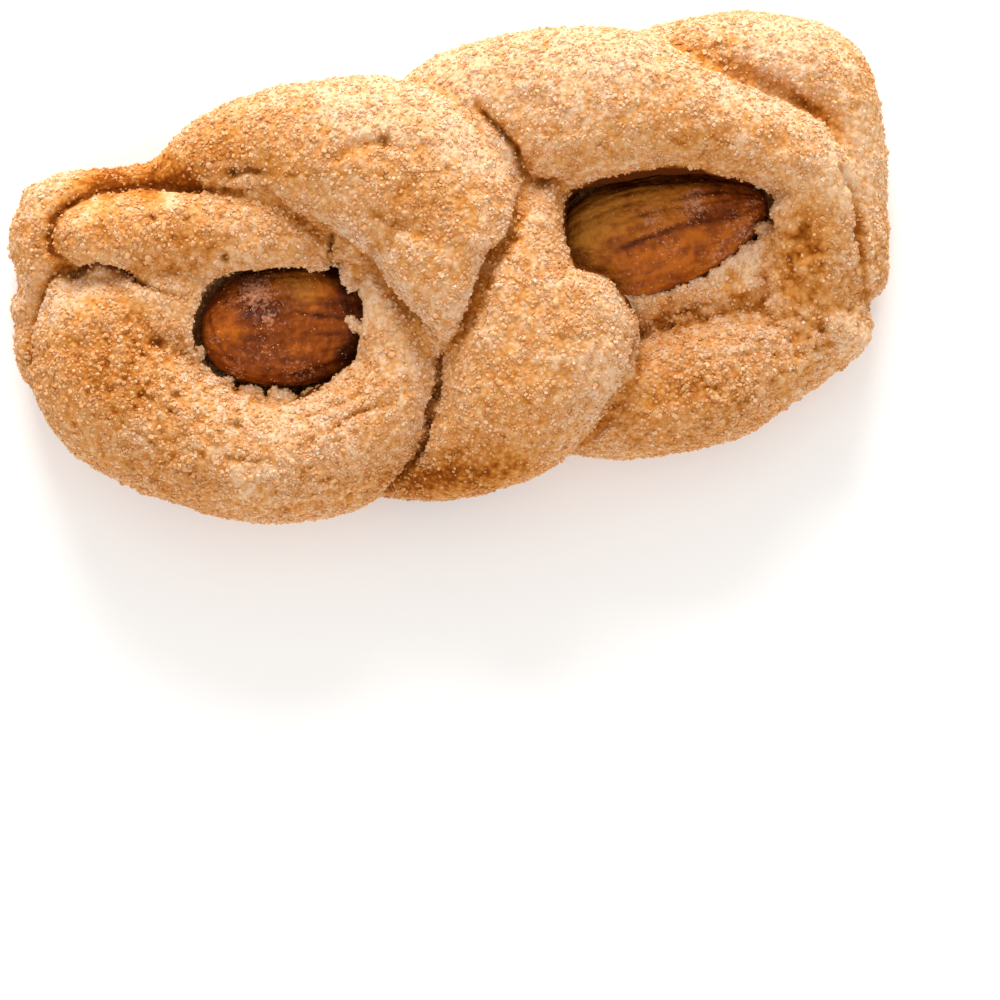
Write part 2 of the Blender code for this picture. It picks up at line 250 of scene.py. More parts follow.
# The band's outer edge at the left end: x, y, z, radius, and height over width
CORNERS = [
    (-39.4, 15.0, 5.2, 2.4, 2.0), (-43.0, 5.2, 4.6, 1.9, 2.2), (-43.6, 0.4, 4.2, 2.1, 1.9),
]


def noise_at(points, size, shift=0.0):
    """Smooth noise at each point, with features about as wide as size."""
    scaled = (points + shift) / size
    return np.array([noise.noise(Vector(p)) for p in scaled.tolist()])


def mesh_from(name, points, faces):
    mesh = bpy.data.meshes.new(name)
    mesh.from_pydata(points.tolist(), [], faces)
    mesh.update()
    return mesh


def points_of(mesh):
    found = np.empty(len(mesh.vertices) * 3)
    mesh.vertices.foreach_get("co", found)
    return found.reshape(-1, 3)


def normals_of(mesh):
    found = np.empty(len(mesh.vertices) * 3, np.float32)
    mesh.vertex_normals.foreach_get("vector", found)
    return found.reshape(-1, 3).astype(float)


def set_points(mesh, points):
    mesh.vertices.foreach_set("co", points.astype(np.float32).ravel())
    mesh.update()


def roughen(mesh, depth, size):
    """Pushes every point along its normal by smooth noise."""
    points = points_of(mesh)
    push = depth * noise_at(points, size)
    set_points(mesh, points + normals_of(mesh) * push[:, None])


def crag(x, y, z, radius, flatness=CRAG_FLATNESS):
    """A rough lump of torn dough, its height over its width given by the flatness."""
    ball = bmesh.new()
    shape = Matrix.Translation((x, y, z)) @ Matrix.Diagonal((1.0, 1.0, flatness, 1.0))
    bmesh.ops.create_icosphere(ball, subdivisions=CRAG_SUBDIVISIONS, radius=radius, matrix=shape)
    mesh = bpy.data.meshes.new("crag")
    ball.to_mesh(mesh)
    ball.free()
    roughen(mesh, CRAG_ROUGHNESS * radius, CRAG_GRAIN * radius)
    return mesh


ropes = []
for points, faces, _ in swept:
    rope = mesh_from("rope", points, faces)
    roughen(rope, LUMP_DEPTH, LUMP_SIZE)
    ropes.append(rope)
lumps = [crag(*place) for place in (*CRAGS, *INFILL, *CORNERS)]
print(len(ropes), "ropes and", len(lumps), "crags")

# %% [markdown]
# In the oven the strands grow together into one piece. A voxel remesh does the same thing:
# it looks only at what is inside and what is outside, so overlapping closed shapes melt into
# one even skin. A Boolean would give exact seams, but with uneven slivers that don't take
# relief well.

# %% Melt the strands into one skin
VOXEL = 0.355


def object_from(name, data):
    made = bpy.data.objects.new(name, data)
    bpy.context.scene.collection.objects.link(made)
    return made


def with_modifier(target, kind, **settings):
    """Replaces the object's mesh by what one modifier makes of it."""
    change = target.modifiers.new(kind, kind)
    for name, value in settings.items():
        setattr(change, name, value)
    shaped = bpy.data.meshes.new_from_object(
        target.evaluated_get(bpy.context.evaluated_depsgraph_get()))
    target.modifiers.clear()
    spent = target.data
    target.data = shaped
    bpy.data.meshes.remove(spent)
    return target


def joined(meshes):
    """One mesh that holds several, side by side and not yet merged."""
    whole = bmesh.new()
    for mesh in meshes:
        whole.from_mesh(mesh)
        bpy.data.meshes.remove(mesh)
    mesh = bpy.data.meshes.new("joined")
    whole.to_mesh(mesh)
    whole.free()
    return mesh


skin = object_from("dough_skin", joined(ropes + lumps))
with_modifier(skin, "REMESH", mode="VOXEL", voxel_size=VOXEL)
print("skin after melting:", len(skin.data.polygons), "faces")

# %% [markdown]
# An almond is a flattened drop: blunt where it hung on the tree, pointed at the other end.
# Its outline is a half circle thinned towards the point. The same form, swollen a little,
# also cuts the socket that the almond is pressed into, so the dark gap round it is even.

# %% The almond's form
ALMOND_LENGTH = 22.5
ALMOND_WIDTH = 12.6
ALMOND_THICKNESS = 8.4
ALMOND_TAPER = 0.20
ALMOND_FULLNESS = 1.02
EDGE_ROUNDNESS = 0.8
ALMONDS = {
    "almond_left": {"place": (-15.4, -2.4, 8.9), "turn": -5.0, "dip": 10.0, "gap": 0.7},
    "almond_right": {"place": (20.9, -0.9, 8.8), "turn": 4.0, "dip": 0.0, "gap": 0.45},
}
# Where a socket stands wider open than the almond's own form: shifts in millimetres
WIDER = {
    "almond_left": [(-0.45, 0.35, 0.4), (-0.1, 0.75, 0.6), (-0.4, 0.0, 0.4)],
    "almond_right": [(0.1, 0.5, 0.4), (0.4, 0.3, 0.4), (-0.6, -0.8, 1.0)],
}


def almond_points(rings, sides):
    """Points of an almond lying along X, with each point's share along and angle round."""
    share = -np.cos(math.pi * np.arange(1, rings) / rings)
    radius = np.sqrt(1.0 - share ** 2) * (1.0 - ALMOND_TAPER * share) / ALMOND_FULLNESS
    angle = np.linspace(0.0, 2.0 * math.pi, sides, endpoint=False)
    share_grid, angle_grid = np.meshgrid(share, angle, indexing="ij")
    radius_grid = np.repeat(radius[:, None], sides, axis=1)
    body = np.stack([
        0.5 * ALMOND_LENGTH * share_grid,
        0.5 * ALMOND_WIDTH * radius_grid * np.cos(angle_grid),
        0.5 * ALMOND_THICKNESS * radius_grid ** EDGE_ROUNDNESS * np.sin(angle_grid),
    ], axis=-1).reshape(-1, 3)
    ends = np.array([[-0.5 * ALMOND_LENGTH, 0.0, 0.0], [0.5 * ALMOND_LENGTH, 0.0, 0.0]])
    shares = np.concatenate([share_grid.ravel(), [-1.0, 1.0]])
    angles = np.concatenate([angle_grid.ravel(), [0.0, 0.0]])
    return np.vstack([body, ends]), shares, angles


def almond_faces(rings, sides):
    faces = []
    for ring in range(rings - 2):
        for corner in range(sides):
            following = (corner + 1) % sides
            near, far = ring * sides, (ring + 1) * sides
            faces.append([near + corner, near + following, far + following, far + corner])
    blunt, tip, last = (rings - 1) * sides, (rings - 1) * sides + 1, (rings - 2) * sides
    for corner in range(sides):
        following = (corner + 1) % sides
        faces.append([blunt, following, corner])
        faces.append([tip, last + corner, last + following])
    return faces


def almond_pose(fact):
    """Where an almond lies, as a matrix."""
    pose = Matrix.Translation(fact["place"])
    pose @= Matrix.Rotation(math.radians(fact["turn"]), 4, "Z")
    return pose @ Matrix.Rotation(math.radians(fact["dip"]), 4, "Y")


def outward(mesh):
    """Turns every face of a closed mesh outwards."""
    whole = bmesh.new()
    whole.from_mesh(mesh)
    bmesh.ops.recalc_face_normals(whole, faces=whole.faces)
    whole.to_mesh(mesh)
    whole.free()
    return mesh


def socket_mesh(fact, shift=(0.0, 0.0, 0.0), rings=60, sides=72):
    """The almond's form, swollen by the gap round it, and shifted."""
    points, _, _ = almond_points(rings, sides)
    mesh = outward(mesh_from("socket", points, almond_faces(rings, sides)))
    set_points(mesh, points + normals_of(mesh) * fact["gap"])
    mesh.transform(Matrix.Translation(shift) @ almond_pose(fact))
    return mesh


sockets = [socket_mesh(fact) for fact in ALMONDS.values()]
sockets += [socket_mesh(ALMONDS[name], shift) for name in WIDER for shift in WIDER[name]]
print("socket points:", [len(mesh.vertices) for mesh in sockets])

# %% [markdown]
# The sockets are cut with a Boolean, which keeps their rims where the almonds need them. Small
# crumbs of dough were pushed up against the almonds, so a few lie across the rims. A second
# remesh then melts them in and rounds the cut rims, since baked dough has no knife edges.
# Last, everything under the tray's level is pressed flat onto it.

# %% Cut the sockets and press the underside flat
SMOOTH_PASSES = 1
# Crumbs across the sockets' rims: x, y, z and radius
RIM_CRUMBS = [
    (-14.2, 3.1, 12.2, 0.7), (-13.3, 3.0, 12.1, 0.9), (-11.0, 1.9, 12.6, 0.65), (-10.9, 0.9, 12.2, 0.7),
    (-10.6, 0.0, 12.1, 0.6), (-11.5, -3.0, 12.0, 0.55), (-11.1, -3.7, 11.8, 0.7),
    (-26.9, -3.1, 11.0, 0.65), (-24.9, -6.7, 11.2, 0.8), (-23.1, -7.9, 11.0, 0.8),
    (-22.2, -8.3, 10.9, 0.8), (-20.4, -8.9, 10.8, 0.8), (-19.5, -9.2, 10.6, 0.8),
    (-17.1, -9.5, 10.3, 0.7), (-15.9, -9.5, 10.0, 0.6), (14.4, -7.0, 10.6, 0.9),
    (15.8, -7.1, 10.1, 1.1), (17.6, -7.3, 9.9, 1.2), (19.6, -7.5, 9.8, 1.2), (21.6, -7.5, 9.7, 1.2),
    (23.6, -7.1, 9.7, 1.2), (25.6, -6.5, 9.8, 1.1), (27.4, -5.6, 10.0, 1.1), (29.2, -4.6, 10.1, 1.0),
    (31.2, -2.6, 10.2, 0.8),
]
for mesh in sockets:
    cutter = object_from("cutter", mesh)
    with_modifier(skin, "BOOLEAN", operation="DIFFERENCE", object=cutter, solver="MANIFOLD")
    bpy.data.objects.remove(cutter, do_unlink=True)
hollowed = skin.data
skin.data = joined([hollowed.copy(), *(crag(*place, 0.8) for place in RIM_CRUMBS)])
bpy.data.meshes.remove(hollowed)
with_modifier(skin, "REMESH", mode="VOXEL", voxel_size=VOXEL)
with_modifier(skin, "SMOOTH", factor=0.5, iterations=SMOOTH_PASSES)
flat = points_of(skin.data)
flat[:, 2] = np.maximum(flat[:, 2], 0.0)
set_points(skin.data, flat)
print("skin:", len(skin.data.vertices), "points,", len(skin.data.polygons), "faces")

# %% [markdown]
# A remesh spends as many faces on the flat underside as on the top. The underside needs next
# to none, so a Decimate modifier, held to a vertex group, collapses it alone. The top keeps
# every face for its relief, and the whole skin stays small enough to export.

# %% Thin out the underside
SKIN_TRIANGLES = 197_000
ON_TRAY = 0.01


def triangles_in(mesh):
    return sum(len(face.vertices) - 2 for face in mesh.polygons)


tray_points = np.nonzero(flat[:, 2] < ON_TRAY)[0].tolist()
skin.vertex_groups.new(name="on_tray").add(tray_points, 1.0, "REPLACE")
share_kept = SKIN_TRIANGLES / triangles_in(skin.data)
with_modifier(skin, "DECIMATE", ratio=min(share_kept, 1.0), vertex_group="on_tray")
skin.vertex_groups.clear()
print("skin thinned to", triangles_in(skin.data), "triangles")

# %% [markdown]
# Baked dough shows which way it was rolled: fine wrinkles run along each strand. To draw
# them, every point of the skin has to know its strand, how far along it lies, and how far
# round. A nearest-point search on the swept ropes gives the ring, and the ring's own frame
# gives the rest.

# %% Find each point's place on its strand


def strand_places(points):
    """Strand number, distance along and distance round, for every point, in millimetres."""
    all_points, all_faces, first_face, count = [], [], [], 0
    for strand_points, strand_faces, _ in swept:
        first_face.append(len(all_faces))
        all_points.append(strand_points)
        all_faces += [[i + count for i in face] for face in strand_faces]
        count += len(strand_points)
    tree = BVHTree.FromPolygons(np.vstack(all_points).tolist(), all_faces)
    nearest = np.array([tree.find_nearest(Vector(p))[2] for p in points.tolist()])
    strand = np.searchsorted(first_face, nearest, side="right") - 1
    along, round_it = np.zeros(len(points)), np.zeros(len(points))
    for number, (_, _, (middle, ahead, side, up, half)) in enumerate(swept):
        chosen = np.nonzero(strand == number)[0]
        ring = np.clip((nearest[chosen] - first_face[number]) // RING_SIDES, 0, len(middle) - 1)
        offset = points[chosen] - middle[ring]
        steps = np.linalg.norm(np.diff(middle, axis=0), axis=1)
        reach = np.concatenate([[0.0], np.cumsum(steps)])
        along[chosen] = reach[ring] + np.sum(offset * ahead[ring], axis=1)
        width = np.maximum(half[ring], 1.0)
        across = np.sum(offset * side[ring], axis=1) / width[:, 0]
        rise = np.sum(offset * up[ring], axis=1) / width[:, 1]
        round_it[chosen] = np.arctan2(rise, across) * 0.5 * (width[:, 0] + width[:, 1])
    return strand, along, round_it


smooth_skin = points_of(skin.data)
strand_of, along_of, round_of = strand_places(smooth_skin)
print("points on each strand:", np.bincount(strand_of, minlength=len(STRANDS)).tolist())

# %% [markdown]
# Some folds and pits are this cookie's own, and not any cookie's: where two strands press
# together the dough pinches into a fold, and a few bubbles have burst. Each is a short
# line or a spot on the plan, and each gets a dark painted shade. Where one strand lies over
# another, the upper one ends steeply and the lower one sinks gently towards it, so a fold has
# its own width on either side. The low side also gets a brown painted shade, and the upper
# strand's edge gets more sugar and a painted highlight.

# %% The cookie's own folds and pits
# Each fold: its points on the plan, the widths on its left and on its right as it runs, its
# depth, all in millimetres, and how dark its painted shade is
FOLDS = [
    ([(-11.6, 5.6), (-11.7, 4.4), (-12.0, 3.2)], 0.22, 0.22, 1.0, 1.0),
    ([(-13.0, 7.6), (-11.4, 5.7), (-9.6, 4.0), (-8.1, 1.8), (-6.7, -1.6), (-4.5, -5.2)],
     0.20, 0.60, 0.55, 0.20),
    ([(-7.5, 0.4), (-6.7, -1.6), (-4.5, -5.2), (-3.1, -7.5)], 0.22, 0.55, 0.7, 0.45),
    ([(-2.9, -7.4), (-3.3, -8.2), (-4.3, -11.7), (-5.5, -13.8), (-6.7, -16.3), (-7.5, -17.6),
      (-9.2, -19.1), (-11.9, -20.9)], 0.34, 0.22, 1.1, 0.65),
    ([(-16.4, -13.7), (-15.0, -13.3), (-13.4, -12.6), (-11.3, -12.2), (-9.2, -12.3)],
     0.40, 0.26, 0.45, 0.3),
    ([(-20.5, -12.3), (-17.6, -11.5), (-14.4, -11.2), (-11.8, -10.4)], 0.40, 0.28, 0.35, 0.2),
    ([(-26.9, -13.9), (-24.5, -14.7), (-22.1, -15.4)], 0.40, 0.28, 0.35, 0.25),
    ([(5.2, 15.2), (6.0, 13.5), (6.8, 12.2), (7.6, 10.7), (8.4, 8.0), (8.9, 6.7), (9.6, 6.3)],
     0.80, 0.34, 1.2, 0.85),
    ([(8.9, 6.7), (9.6, 6.3), (11.1, 5.9), (12.0, 5.6)], 0.40, 0.30, 0.7, 0.7),
    ([(7.8, 5.3), (6.7, 3.2), (5.9, 1.4), (3.8, 0.3), (2.8, -1.3), (1.1, -4.0), (-1.0, -6.9),
      (-3.0, -8.1)], 0.90, 0.28, 0.9, 0.55),
    ([(-8.2, 6.9), (-6.5, 6.1), (-3.4, 4.1), (-1.5, 2.9)], 0.7, 0.7, 0.35, 0.0),
    ([(-9.5, 12.9), (-7.2, 13.6), (-4.3, 13.4), (-2.6, 12.2)], 0.6, 0.6, 0.45, 0.0),
    ([(16.8, -9.5), (15.7, -12.2), (14.0, -15.2), (11.0, -18.4), (8.2, -20.1)],
     0.60, 0.28, 0.8, 0.5),
    ([(15.6, -10.9), (16.8, -10.5), (18.6, -9.7), (20.2, -9.5), (22.6, -9.3), (25.3, -9.0)],
     0.8, 0.40, 0.5, 0.35),
    ([(24.6, -11.0), (26.8, -10.9), (29.2, -11.9), (31.0, -12.9)], 0.3, 0.3, 0.25, 0.0),
    ([(21.0, 20.2), (22.3, 19.3), (25.7, 16.8), (29.1, 14.0), (32.8, 11.7), (36.3, 9.4),
      (39.0, 7.1), (40.2, 5.0), (40.8, 3.0)], 1.80, 0.28, 0.9, 0.22),
    ([(34.6, 10.8), (37.0, 9.2), (38.6, 7.6), (39.4, 6.2)], 0.8, 0.3, 0.5, 0.45),
    ([(39.9, 1.6), (40.8, -1.0), (40.8, -2.8), (40.3, -5.4), (40.3, -8.4), (40.0, -11.2)],
     0.7, 0.4, 0.9, 0.45),
    ([(-38.8, 7.2), (-37.4, 7.3), (-35.2, 7.2), (-33.3, 6.5), (-31.9, 5.5), (-30.2, 4.2)],
     0.32, 0.28, 1.2, 1.5),
    ([(-30.6, 4.4), (-28.6, 3.2), (-26.6, 2.6)], 0.35, 0.35, 0.35, 0.2),
    ([(-37.6, 7.2), (-38.6, 7.6), (-39.8, 7.3), (-41.2, 6.0), (-42.1, 4.8), (-42.9, 3.4),
      (-43.4, 1.9), (-43.7, 0.5), (-44.2, -0.7)], 0.24, 1.00, 1.4, 0.55),
    ([(-38.0, 8.2), (-39.3, 9.9), (-39.4, 11.6), (-38.5, 13.1), (-37.2, 14.0), (-35.2, 14.6),
      (-32.5, 15.1), (-29.1, 14.6), (-25.7, 13.4), (-21.8, 12.2), (-19.4, 11.4)],
     0.60, 0.28, 0.8, 0.70),
    ([(-20.4, 13.2), (-18.4, 13.4), (-16.6, 12.6)], 0.7, 0.35, 0.6, 0.6),
    ([(-17.7, 12.3), (-15.7, 9.6), (-13.7, 7.1), (-12.1, 5.4)], 0.28, 0.8, 0.4, 0.2),
]
# Each pit: x, y, radius and depth in millimetres, and how dark its painted shade is
PITS = [
    (-4.3, 13.4, 0.75, 0.9, 0.5), (-6.4, 6.2, 0.30, 0.3, 0.4), (-28.6, 10.9, 0.42, 0.5, 0.7),
    (-25.3, 10.2, 0.36, 0.5, 0.5), (-22.3, 5.4, 0.40, 0.7, 0.9), (-20.0, 13.6, 0.50, 0.9, 0.9),
    (-12.1, 2.1, 0.60, 1.6, 1.8), (33.2, -14.2, 0.35, 0.6, 0.35), (34.8, -13.8, 0.38, 0.8, 0.60),
    (33.9, -15.7, 0.32, 0.5, 0.30), (-30.6, -1.4, 0.45, 0.5, 0.3), (-29.9, -7.0, 0.50, 0.6, 0.3),
    (-33.2, -6.2, 0.40, 0.5, 0.3), (-24.4, -11.0, 0.45, 0.5, 0.3), (1.4, 9.4, 0.35, 0.4, 0.3),
    (13.2, -3.2, 0.35, 0.35, 0.2),
]
# Only what faces up is folded: the least upward lean, and how fast the fold comes in
UPPER_SIDE = 0.05
UPPER_FADE = 0.25
FOLD_SHADE_WIDTH = 0.27
WAVER = 0.25
WAVER_SIZE = 1.6
LOW_SHADE_WIDTH = 1.4
NARROW = 0.6
EDGE_PLACE = 0.6


def unit(values):
    """The values kept between 0 and 1."""
    return np.clip(values, 0.0, 1.0)


def bell(gap, width):
    """1 at no distance, falling softly to nothing past twice the width."""
    return np.exp(-(gap / width) ** 2)


def spot_distance(points, x, y):
    """Distance on the plan."""
    return np.hypot(points[:, 0] - x, points[:, 1] - y)


def side_distance(plan, line):
    """Distance to a polyline, share of the way along it, and whether a point is on its left."""
    corners = np.array(line, float)
    lengths = np.linalg.norm(np.diff(corners, axis=0), axis=1)
    passed = np.concatenate([[0.0], np.cumsum(lengths)])
    best = np.full(len(plan), np.inf)
    share = np.zeros(len(plan))
    on_left = np.zeros(len(plan), bool)
    for index, length in enumerate(lengths):
        way = (corners[index + 1] - corners[index]) / length
        offset = plan - corners[index]
        run = np.clip(offset @ way, 0.0, length)
        gap = np.linalg.norm(offset - run[:, None] * way, axis=1)
        nearer = gap < best
        best[nearer] = gap[nearer]
        share[nearer] = (passed[index] + run[nearer]) / passed[-1]
        on_left[nearer] = (way[0] * offset[nearer, 1] - way[1] * offset[nearer, 0]) > 0.0
    return best, share, on_left


def folds_and_pits(points, normals):
    """How deep each point is pushed in, how dark the painted shade in its fold is, how much brown
    painted shade lies on the fold's low side, and how much extra sugar and painted highlight lie
    along the edge of its high side."""
    plan = points[:, :2] + np.column_stack([
        WAVER * noise_at(points, WAVER_SIZE, 11.0), WAVER * noise_at(points, WAVER_SIZE, 47.0)])
    deep, dark, brown, edge = (np.zeros(len(points)) for _ in range(4))
    for line, left, right, depth, darkness in FOLDS:
        gap, share, on_left = side_distance(plan, line)
        fade = np.sin(math.pi * np.clip(share, 0.04, 0.96)) ** 0.4
        width = np.where(on_left, left, right)
        deep = np.maximum(deep, depth * fade * bell(gap, width))
        # Painted shade: a dark tint in the fold, where shade falls
        dark = np.maximum(dark, darkness * fade * bell(gap, FOLD_SHADE_WIDTH))
        # Brown painted shade on the low side, in the upper strand's shade
        low_side = fade * bell(gap, LOW_SHADE_WIDTH) * (width > NARROW)
        brown = np.maximum(brown, darkness * low_side)
        # More sugar along the high side's edge, and a painted highlight there
        high_side = fade * bell(gap - EDGE_PLACE, EDGE_PLACE) * (width < max(left, right))
        edge = np.maximum(edge, min(depth, 1.0) * high_side)
    for x, y, radius, depth, darkness in PITS:
        spot = bell(spot_distance(plan, x, y), radius)
        deep = np.maximum(deep, depth * spot)
        # A pit's dark is painted shade
        dark = np.maximum(dark, darkness * spot)
    upward = unit((normals[:, 2] - UPPER_SIDE) / UPPER_FADE)
    return deep * upward, dark * upward, brown * upward, edge * upward


skin_normals = normals_of(skin.data)
folded, darkened, low_side_shade, sugared_lit_edges = folds_and_pits(smooth_skin, skin_normals)
print(len(FOLDS), "folds and", len(PITS), "pits, deepest", round(float(folded.max()), 2), "mm")

# %% [markdown]
# The finer relief is of four kinds: bumps of a few millimetres, wrinkles that follow the
# strand, crumb of about a millimetre, and grit of half that. All are noise, read at four
# sizes. The torn right end and a few coarse places are rougher, and patches on the plan say
# where.

# %% Wrinkles and crumb
# Each patch: x, y, radius in millimetres
TORN = [(34.0, -7.0, 6.0), (33.0, -14.5, 7.5), (39.5, -8.0, 4.0)]
COARSE = [(-30.0, -8.0, 11.0), (-18.0, -17.0, 9.0), (24.0, -15.5, 9.0), (-35.0, -2.0, 3.0)]
PATCH_SHARPNESS = 1.6
RIDGE_SHARPNESS = 2.2
WRINKLE_LENGTH = 9.0
WRINKLE_WIDTH = 1.5
STRAND_STEP = 7.3


def patch_mask(points, patches):
    """1 in the middle of the patches, fading to 0 outside them."""
    mask = np.zeros(len(points))
    for x, y, radius in patches:
        gap = spot_distance(points, x, y) / radius
        mask = np.maximum(mask, unit(PATCH_SHARPNESS * (1.0 - gap)))
    return mask


def ridged(values):
    """Noise as ridges with creases between them, from 0 to 1."""
    return 1.0 - unit(np.abs(values) * RIDGE_SHARPNESS)


torn = patch_mask(smooth_skin, TORN)
coarse = patch_mask(smooth_skin, COARSE)
flow = np.column_stack([along_of / WRINKLE_LENGTH, round_of / WRINKLE_WIDTH, strand_of * STRAND_STEP])
wrinkles = ridged(noise_at(flow, 1.0)) * unit(0.5 + noise_at(smooth_skin, 7.0, 31.0))
bumps = noise_at(smooth_skin, 2.6, 5.0)
crumb = noise_at(smooth_skin, 0.95, 17.0)
grit = noise_at(smooth_skin, 0.55, 23.0)
print("wrinkles cover", round(float((wrinkles > 0.5).mean()), 2), "of the skin")

# %% [markdown]
# A material's bump would leave the rim smooth, and a printed copy bare. So the relief moves
# the points themselves, along their normals, and fades out towards the tray, where dough is
# pressed smooth.

# %% Push the relief into the skin
WRINKLE_DEPTH = 0.16
BUMP_DEPTH = 0.20
CRUMB_DEPTH = 0.16
GRIT_DEPTH = 0.09
TORN_EXTRA = 1.4
COARSE_EXTRA = 0.7
TRAY_FADE = 1.5
above_tray = unit(smooth_skin[:, 2] / TRAY_FADE)
roughness = 1.0 + TORN_EXTRA * torn + COARSE_EXTRA * coarse
relief = (BUMP_DEPTH * bumps * (1.0 + torn) - WRINKLE_DEPTH * wrinkles
          + CRUMB_DEPTH * crumb * roughness + GRIT_DEPTH * grit * (1.0 + coarse + torn))
moved = smooth_skin + skin_normals * ((relief - folded) * above_tray)[:, None]
moved[:, 2] = np.maximum(moved[:, 2], 0.0)
set_points(skin.data, moved)
print("relief from", round(float(relief.min()), 2), "to", round(float(relief.max()), 2), "mm")

# %% [markdown]
# Colour follows form: an oven browns what is thin and what stands out at the rim, and the
# hollows get painted shade. So the hollows are measured first, fine ones and wide ones, as how
# far a point lies below the skin evened out round it.

# %% Measure the hollows
NEAR_PASSES = 14
FAR_PASSES = 90


def evened(values, edges, passes):
    """Each row averaged with its neighbours, over and over."""
    count = len(values)
    one, other = edges[:, 0], edges[:, 1]
    links = np.bincount(one, minlength=count) + np.bincount(other, minlength=count)
    for _ in range(passes):
        total = np.column_stack([
            np.bincount(one, weights=values[other, k], minlength=count)
            + np.bincount(other, weights=values[one, k], minlength=count)
            for k in range(values.shape[1])])
        values = 0.5 * values + 0.5 * total / links[:, None]
    return values


def edges_of(mesh):
    found = np.empty(len(mesh.edges) * 2, np.int32)
    mesh.edges.foreach_get("vertices", found)
    return found.reshape(-1, 2)


skin_edges = edges_of(skin.data)
near_round = evened(moved, skin_edges, NEAR_PASSES)
far_round = evened(near_round, skin_edges, FAR_PASSES)
fine_hollow = np.sum((near_round - moved) * skin_normals, axis=1)
wide_hollow = np.sum((far_round - near_round) * skin_normals, axis=1)
print("hollows up to", round(float(wide_hollow.max()), 2), "mm")

# %% [markdown]
# The browning has a plan of its own. Soft round patches, browner or paler than the rest, are
# placed where this cookie has them, partly the oven's browning and partly painted shade and
# painted light, and noise makes their outlines wander. They add up with the hollows' painted
# shade, the low rim, the folds' painted shade and highlight and painted light on the side that
# faces the key lamp, to one number for each point: bake, with painted light and shade in it.

# %% Where the oven browned it, and where light and shade are painted
# Each patch: x, y, radius in millimetres, and how much browner; partly browning, partly painted shade
BROWNING_AND_SHADE = [
    (-36.0, -2.6, 7.5, 0.38), (-41.0, 12.0, 3.5, 0.20), (-19.0, 17.5, 5.0, 0.28),
    (-29.0, 10.4, 5.0, 0.18), (-11.0, -11.5, 4.0, 0.08), (27.4, 18.0, 2.2, 0.16),
    (31.2, 15.4, 2.4, 0.18), (35.2, 12.6, 2.4, 0.16), (35.0, -8.6, 3.4, 0.14), (40.6, -4.0, 1.6, 0.20),
    (-37.2, 13.4, 2.4, 0.40), (-33.3, 14.9, 2.6, 0.55), (-28.7, 14.6, 2.6, 0.60),
    (-23.8, 13.6, 2.6, 0.50), (-32.5, 16.4, 4.0, 0.60), (-25.4, 15.8, 3.6, 0.45),
    (-38.6, 9.8, 2.4, 0.40), (-33.8, 10.2, 2.4, 0.25), (-23.9, 6.6, 2.6, 0.22),
    (-14.0, 12.4, 4.5, 0.15), (-2.5, 7.0, 5.0, 0.16), (-8.4, -20.3, 2.8, 0.60),
    (-5.0, -20.8, 2.8, 0.65), (-1.4, -21.0, 2.8, 0.45), (2.0, -20.8, 2.4, 0.30),
    (2.4, -15.8, 4.0, 0.16), (5.7, 15.2, 1.4, 0.15), (6.9, 13.2, 1.7, 0.18), (8.2, 11.0, 1.8, 0.18),
    (9.6, 8.8, 1.8, 0.16), (26.0, 5.6, 5.0, 0.15), (30.5, 15.2, 5.5, 0.10), (35.0, -5.0, 4.5, 0.30),
    (21.5, -10.4, 3.0, 0.10), (19.5, -8.2, 4.0, 0.12), (-24.0, 14.0, 5.0, 0.08),
    (27.4, -8.7, 1.0, 0.45), (20.5, -17.4, 6.5, 0.30), (-31.0, -16.0, 5.0, 0.18),
    (-43.0, 0.0, 2.5, 0.10), (-12.0, -19.6, 3.5, 0.20), (-27.5, 6.4, 1.8, 0.12),
]
# Paler patches: partly the dough's own paler tone, partly painted light where the lamp reaches little
PALER_AND_LIT = [
    (-43.3, 5.2, 2.6, 0.12), (-22.7, -16.4, 5.0, 0.10), (12.0, 15.0, 6.0, 0.14), (41.8, 1.0, 6.0, 0.34),
    (35.5, 14.0, 5.5, 0.30), (29.8, -6.2, 2.2, 0.20), (4.6, 17.0, 4.0, 0.30), (4.8, 11.6, 1.8, 0.20),
    (6.0, 8.2, 1.8, 0.20), (24.0, 16.6, 3.0, 0.15), (-33.5, 8.4, 2.0, 0.15), (-28.4, 2.6, 3.0, 0.14),
    (-8.8, -4.0, 4.5, 0.12), (3.4, 10.6, 4.5, 0.20), (-6.5, 16.4, 4.0, 0.15), (14.4, -7.0, 3.5, 0.22),
    (12.0, -13.0, 3.5, 0.26), (11.6, 0.4, 2.0, 0.15), (20.0, 17.0, 7.0, 0.18), (31.2, 10.6, 4.0, 0.16),
    (29.0, -6.4, 2.0, 0.30), (36.8, -15.4, 3.5, 0.18), (38.6, -7.2, 1.4, 0.25), (33.0, 1.0, 2.5, 0.14),
    (-10.0, 5.6, 1.4, 0.20), (-8.5, 4.1, 1.4, 0.35), (-7.2, 1.9, 1.4, 0.35), (-5.4, -0.9, 1.4, 0.30),
    (-4.0, -3.7, 1.4, 0.25), (-5.4, -9.5, 1.5, 0.16), (-5.6, -12.5, 1.5, 0.16),
    (15.2, -11.0, 1.6, 0.10), (13.6, -14.0, 1.6, 0.14), (10.6, -17.4, 1.8, 0.14),
    (-34.9, 13.5, 1.4, 0.32), (-32.2, 13.7, 1.4, 0.40), (-29.2, 13.3, 1.4, 0.40),
    (-26.6, 12.8, 1.4, 0.34), (-37.6, 12.0, 1.4, 0.20), (28.6, 13.5, 1.3, 0.20),
    (31.6, 11.7, 1.3, 0.20), (34.4, 9.8, 1.3, 0.20), (-39.6, 5.4, 1.5, 0.15), (-37.0, 6.0, 1.3, 0.15),
]
WANDER = 1.6
PLAIN_BAKE = 0.34
RIM_BAKE = 0.22
RIM_HEIGHT = 7.0
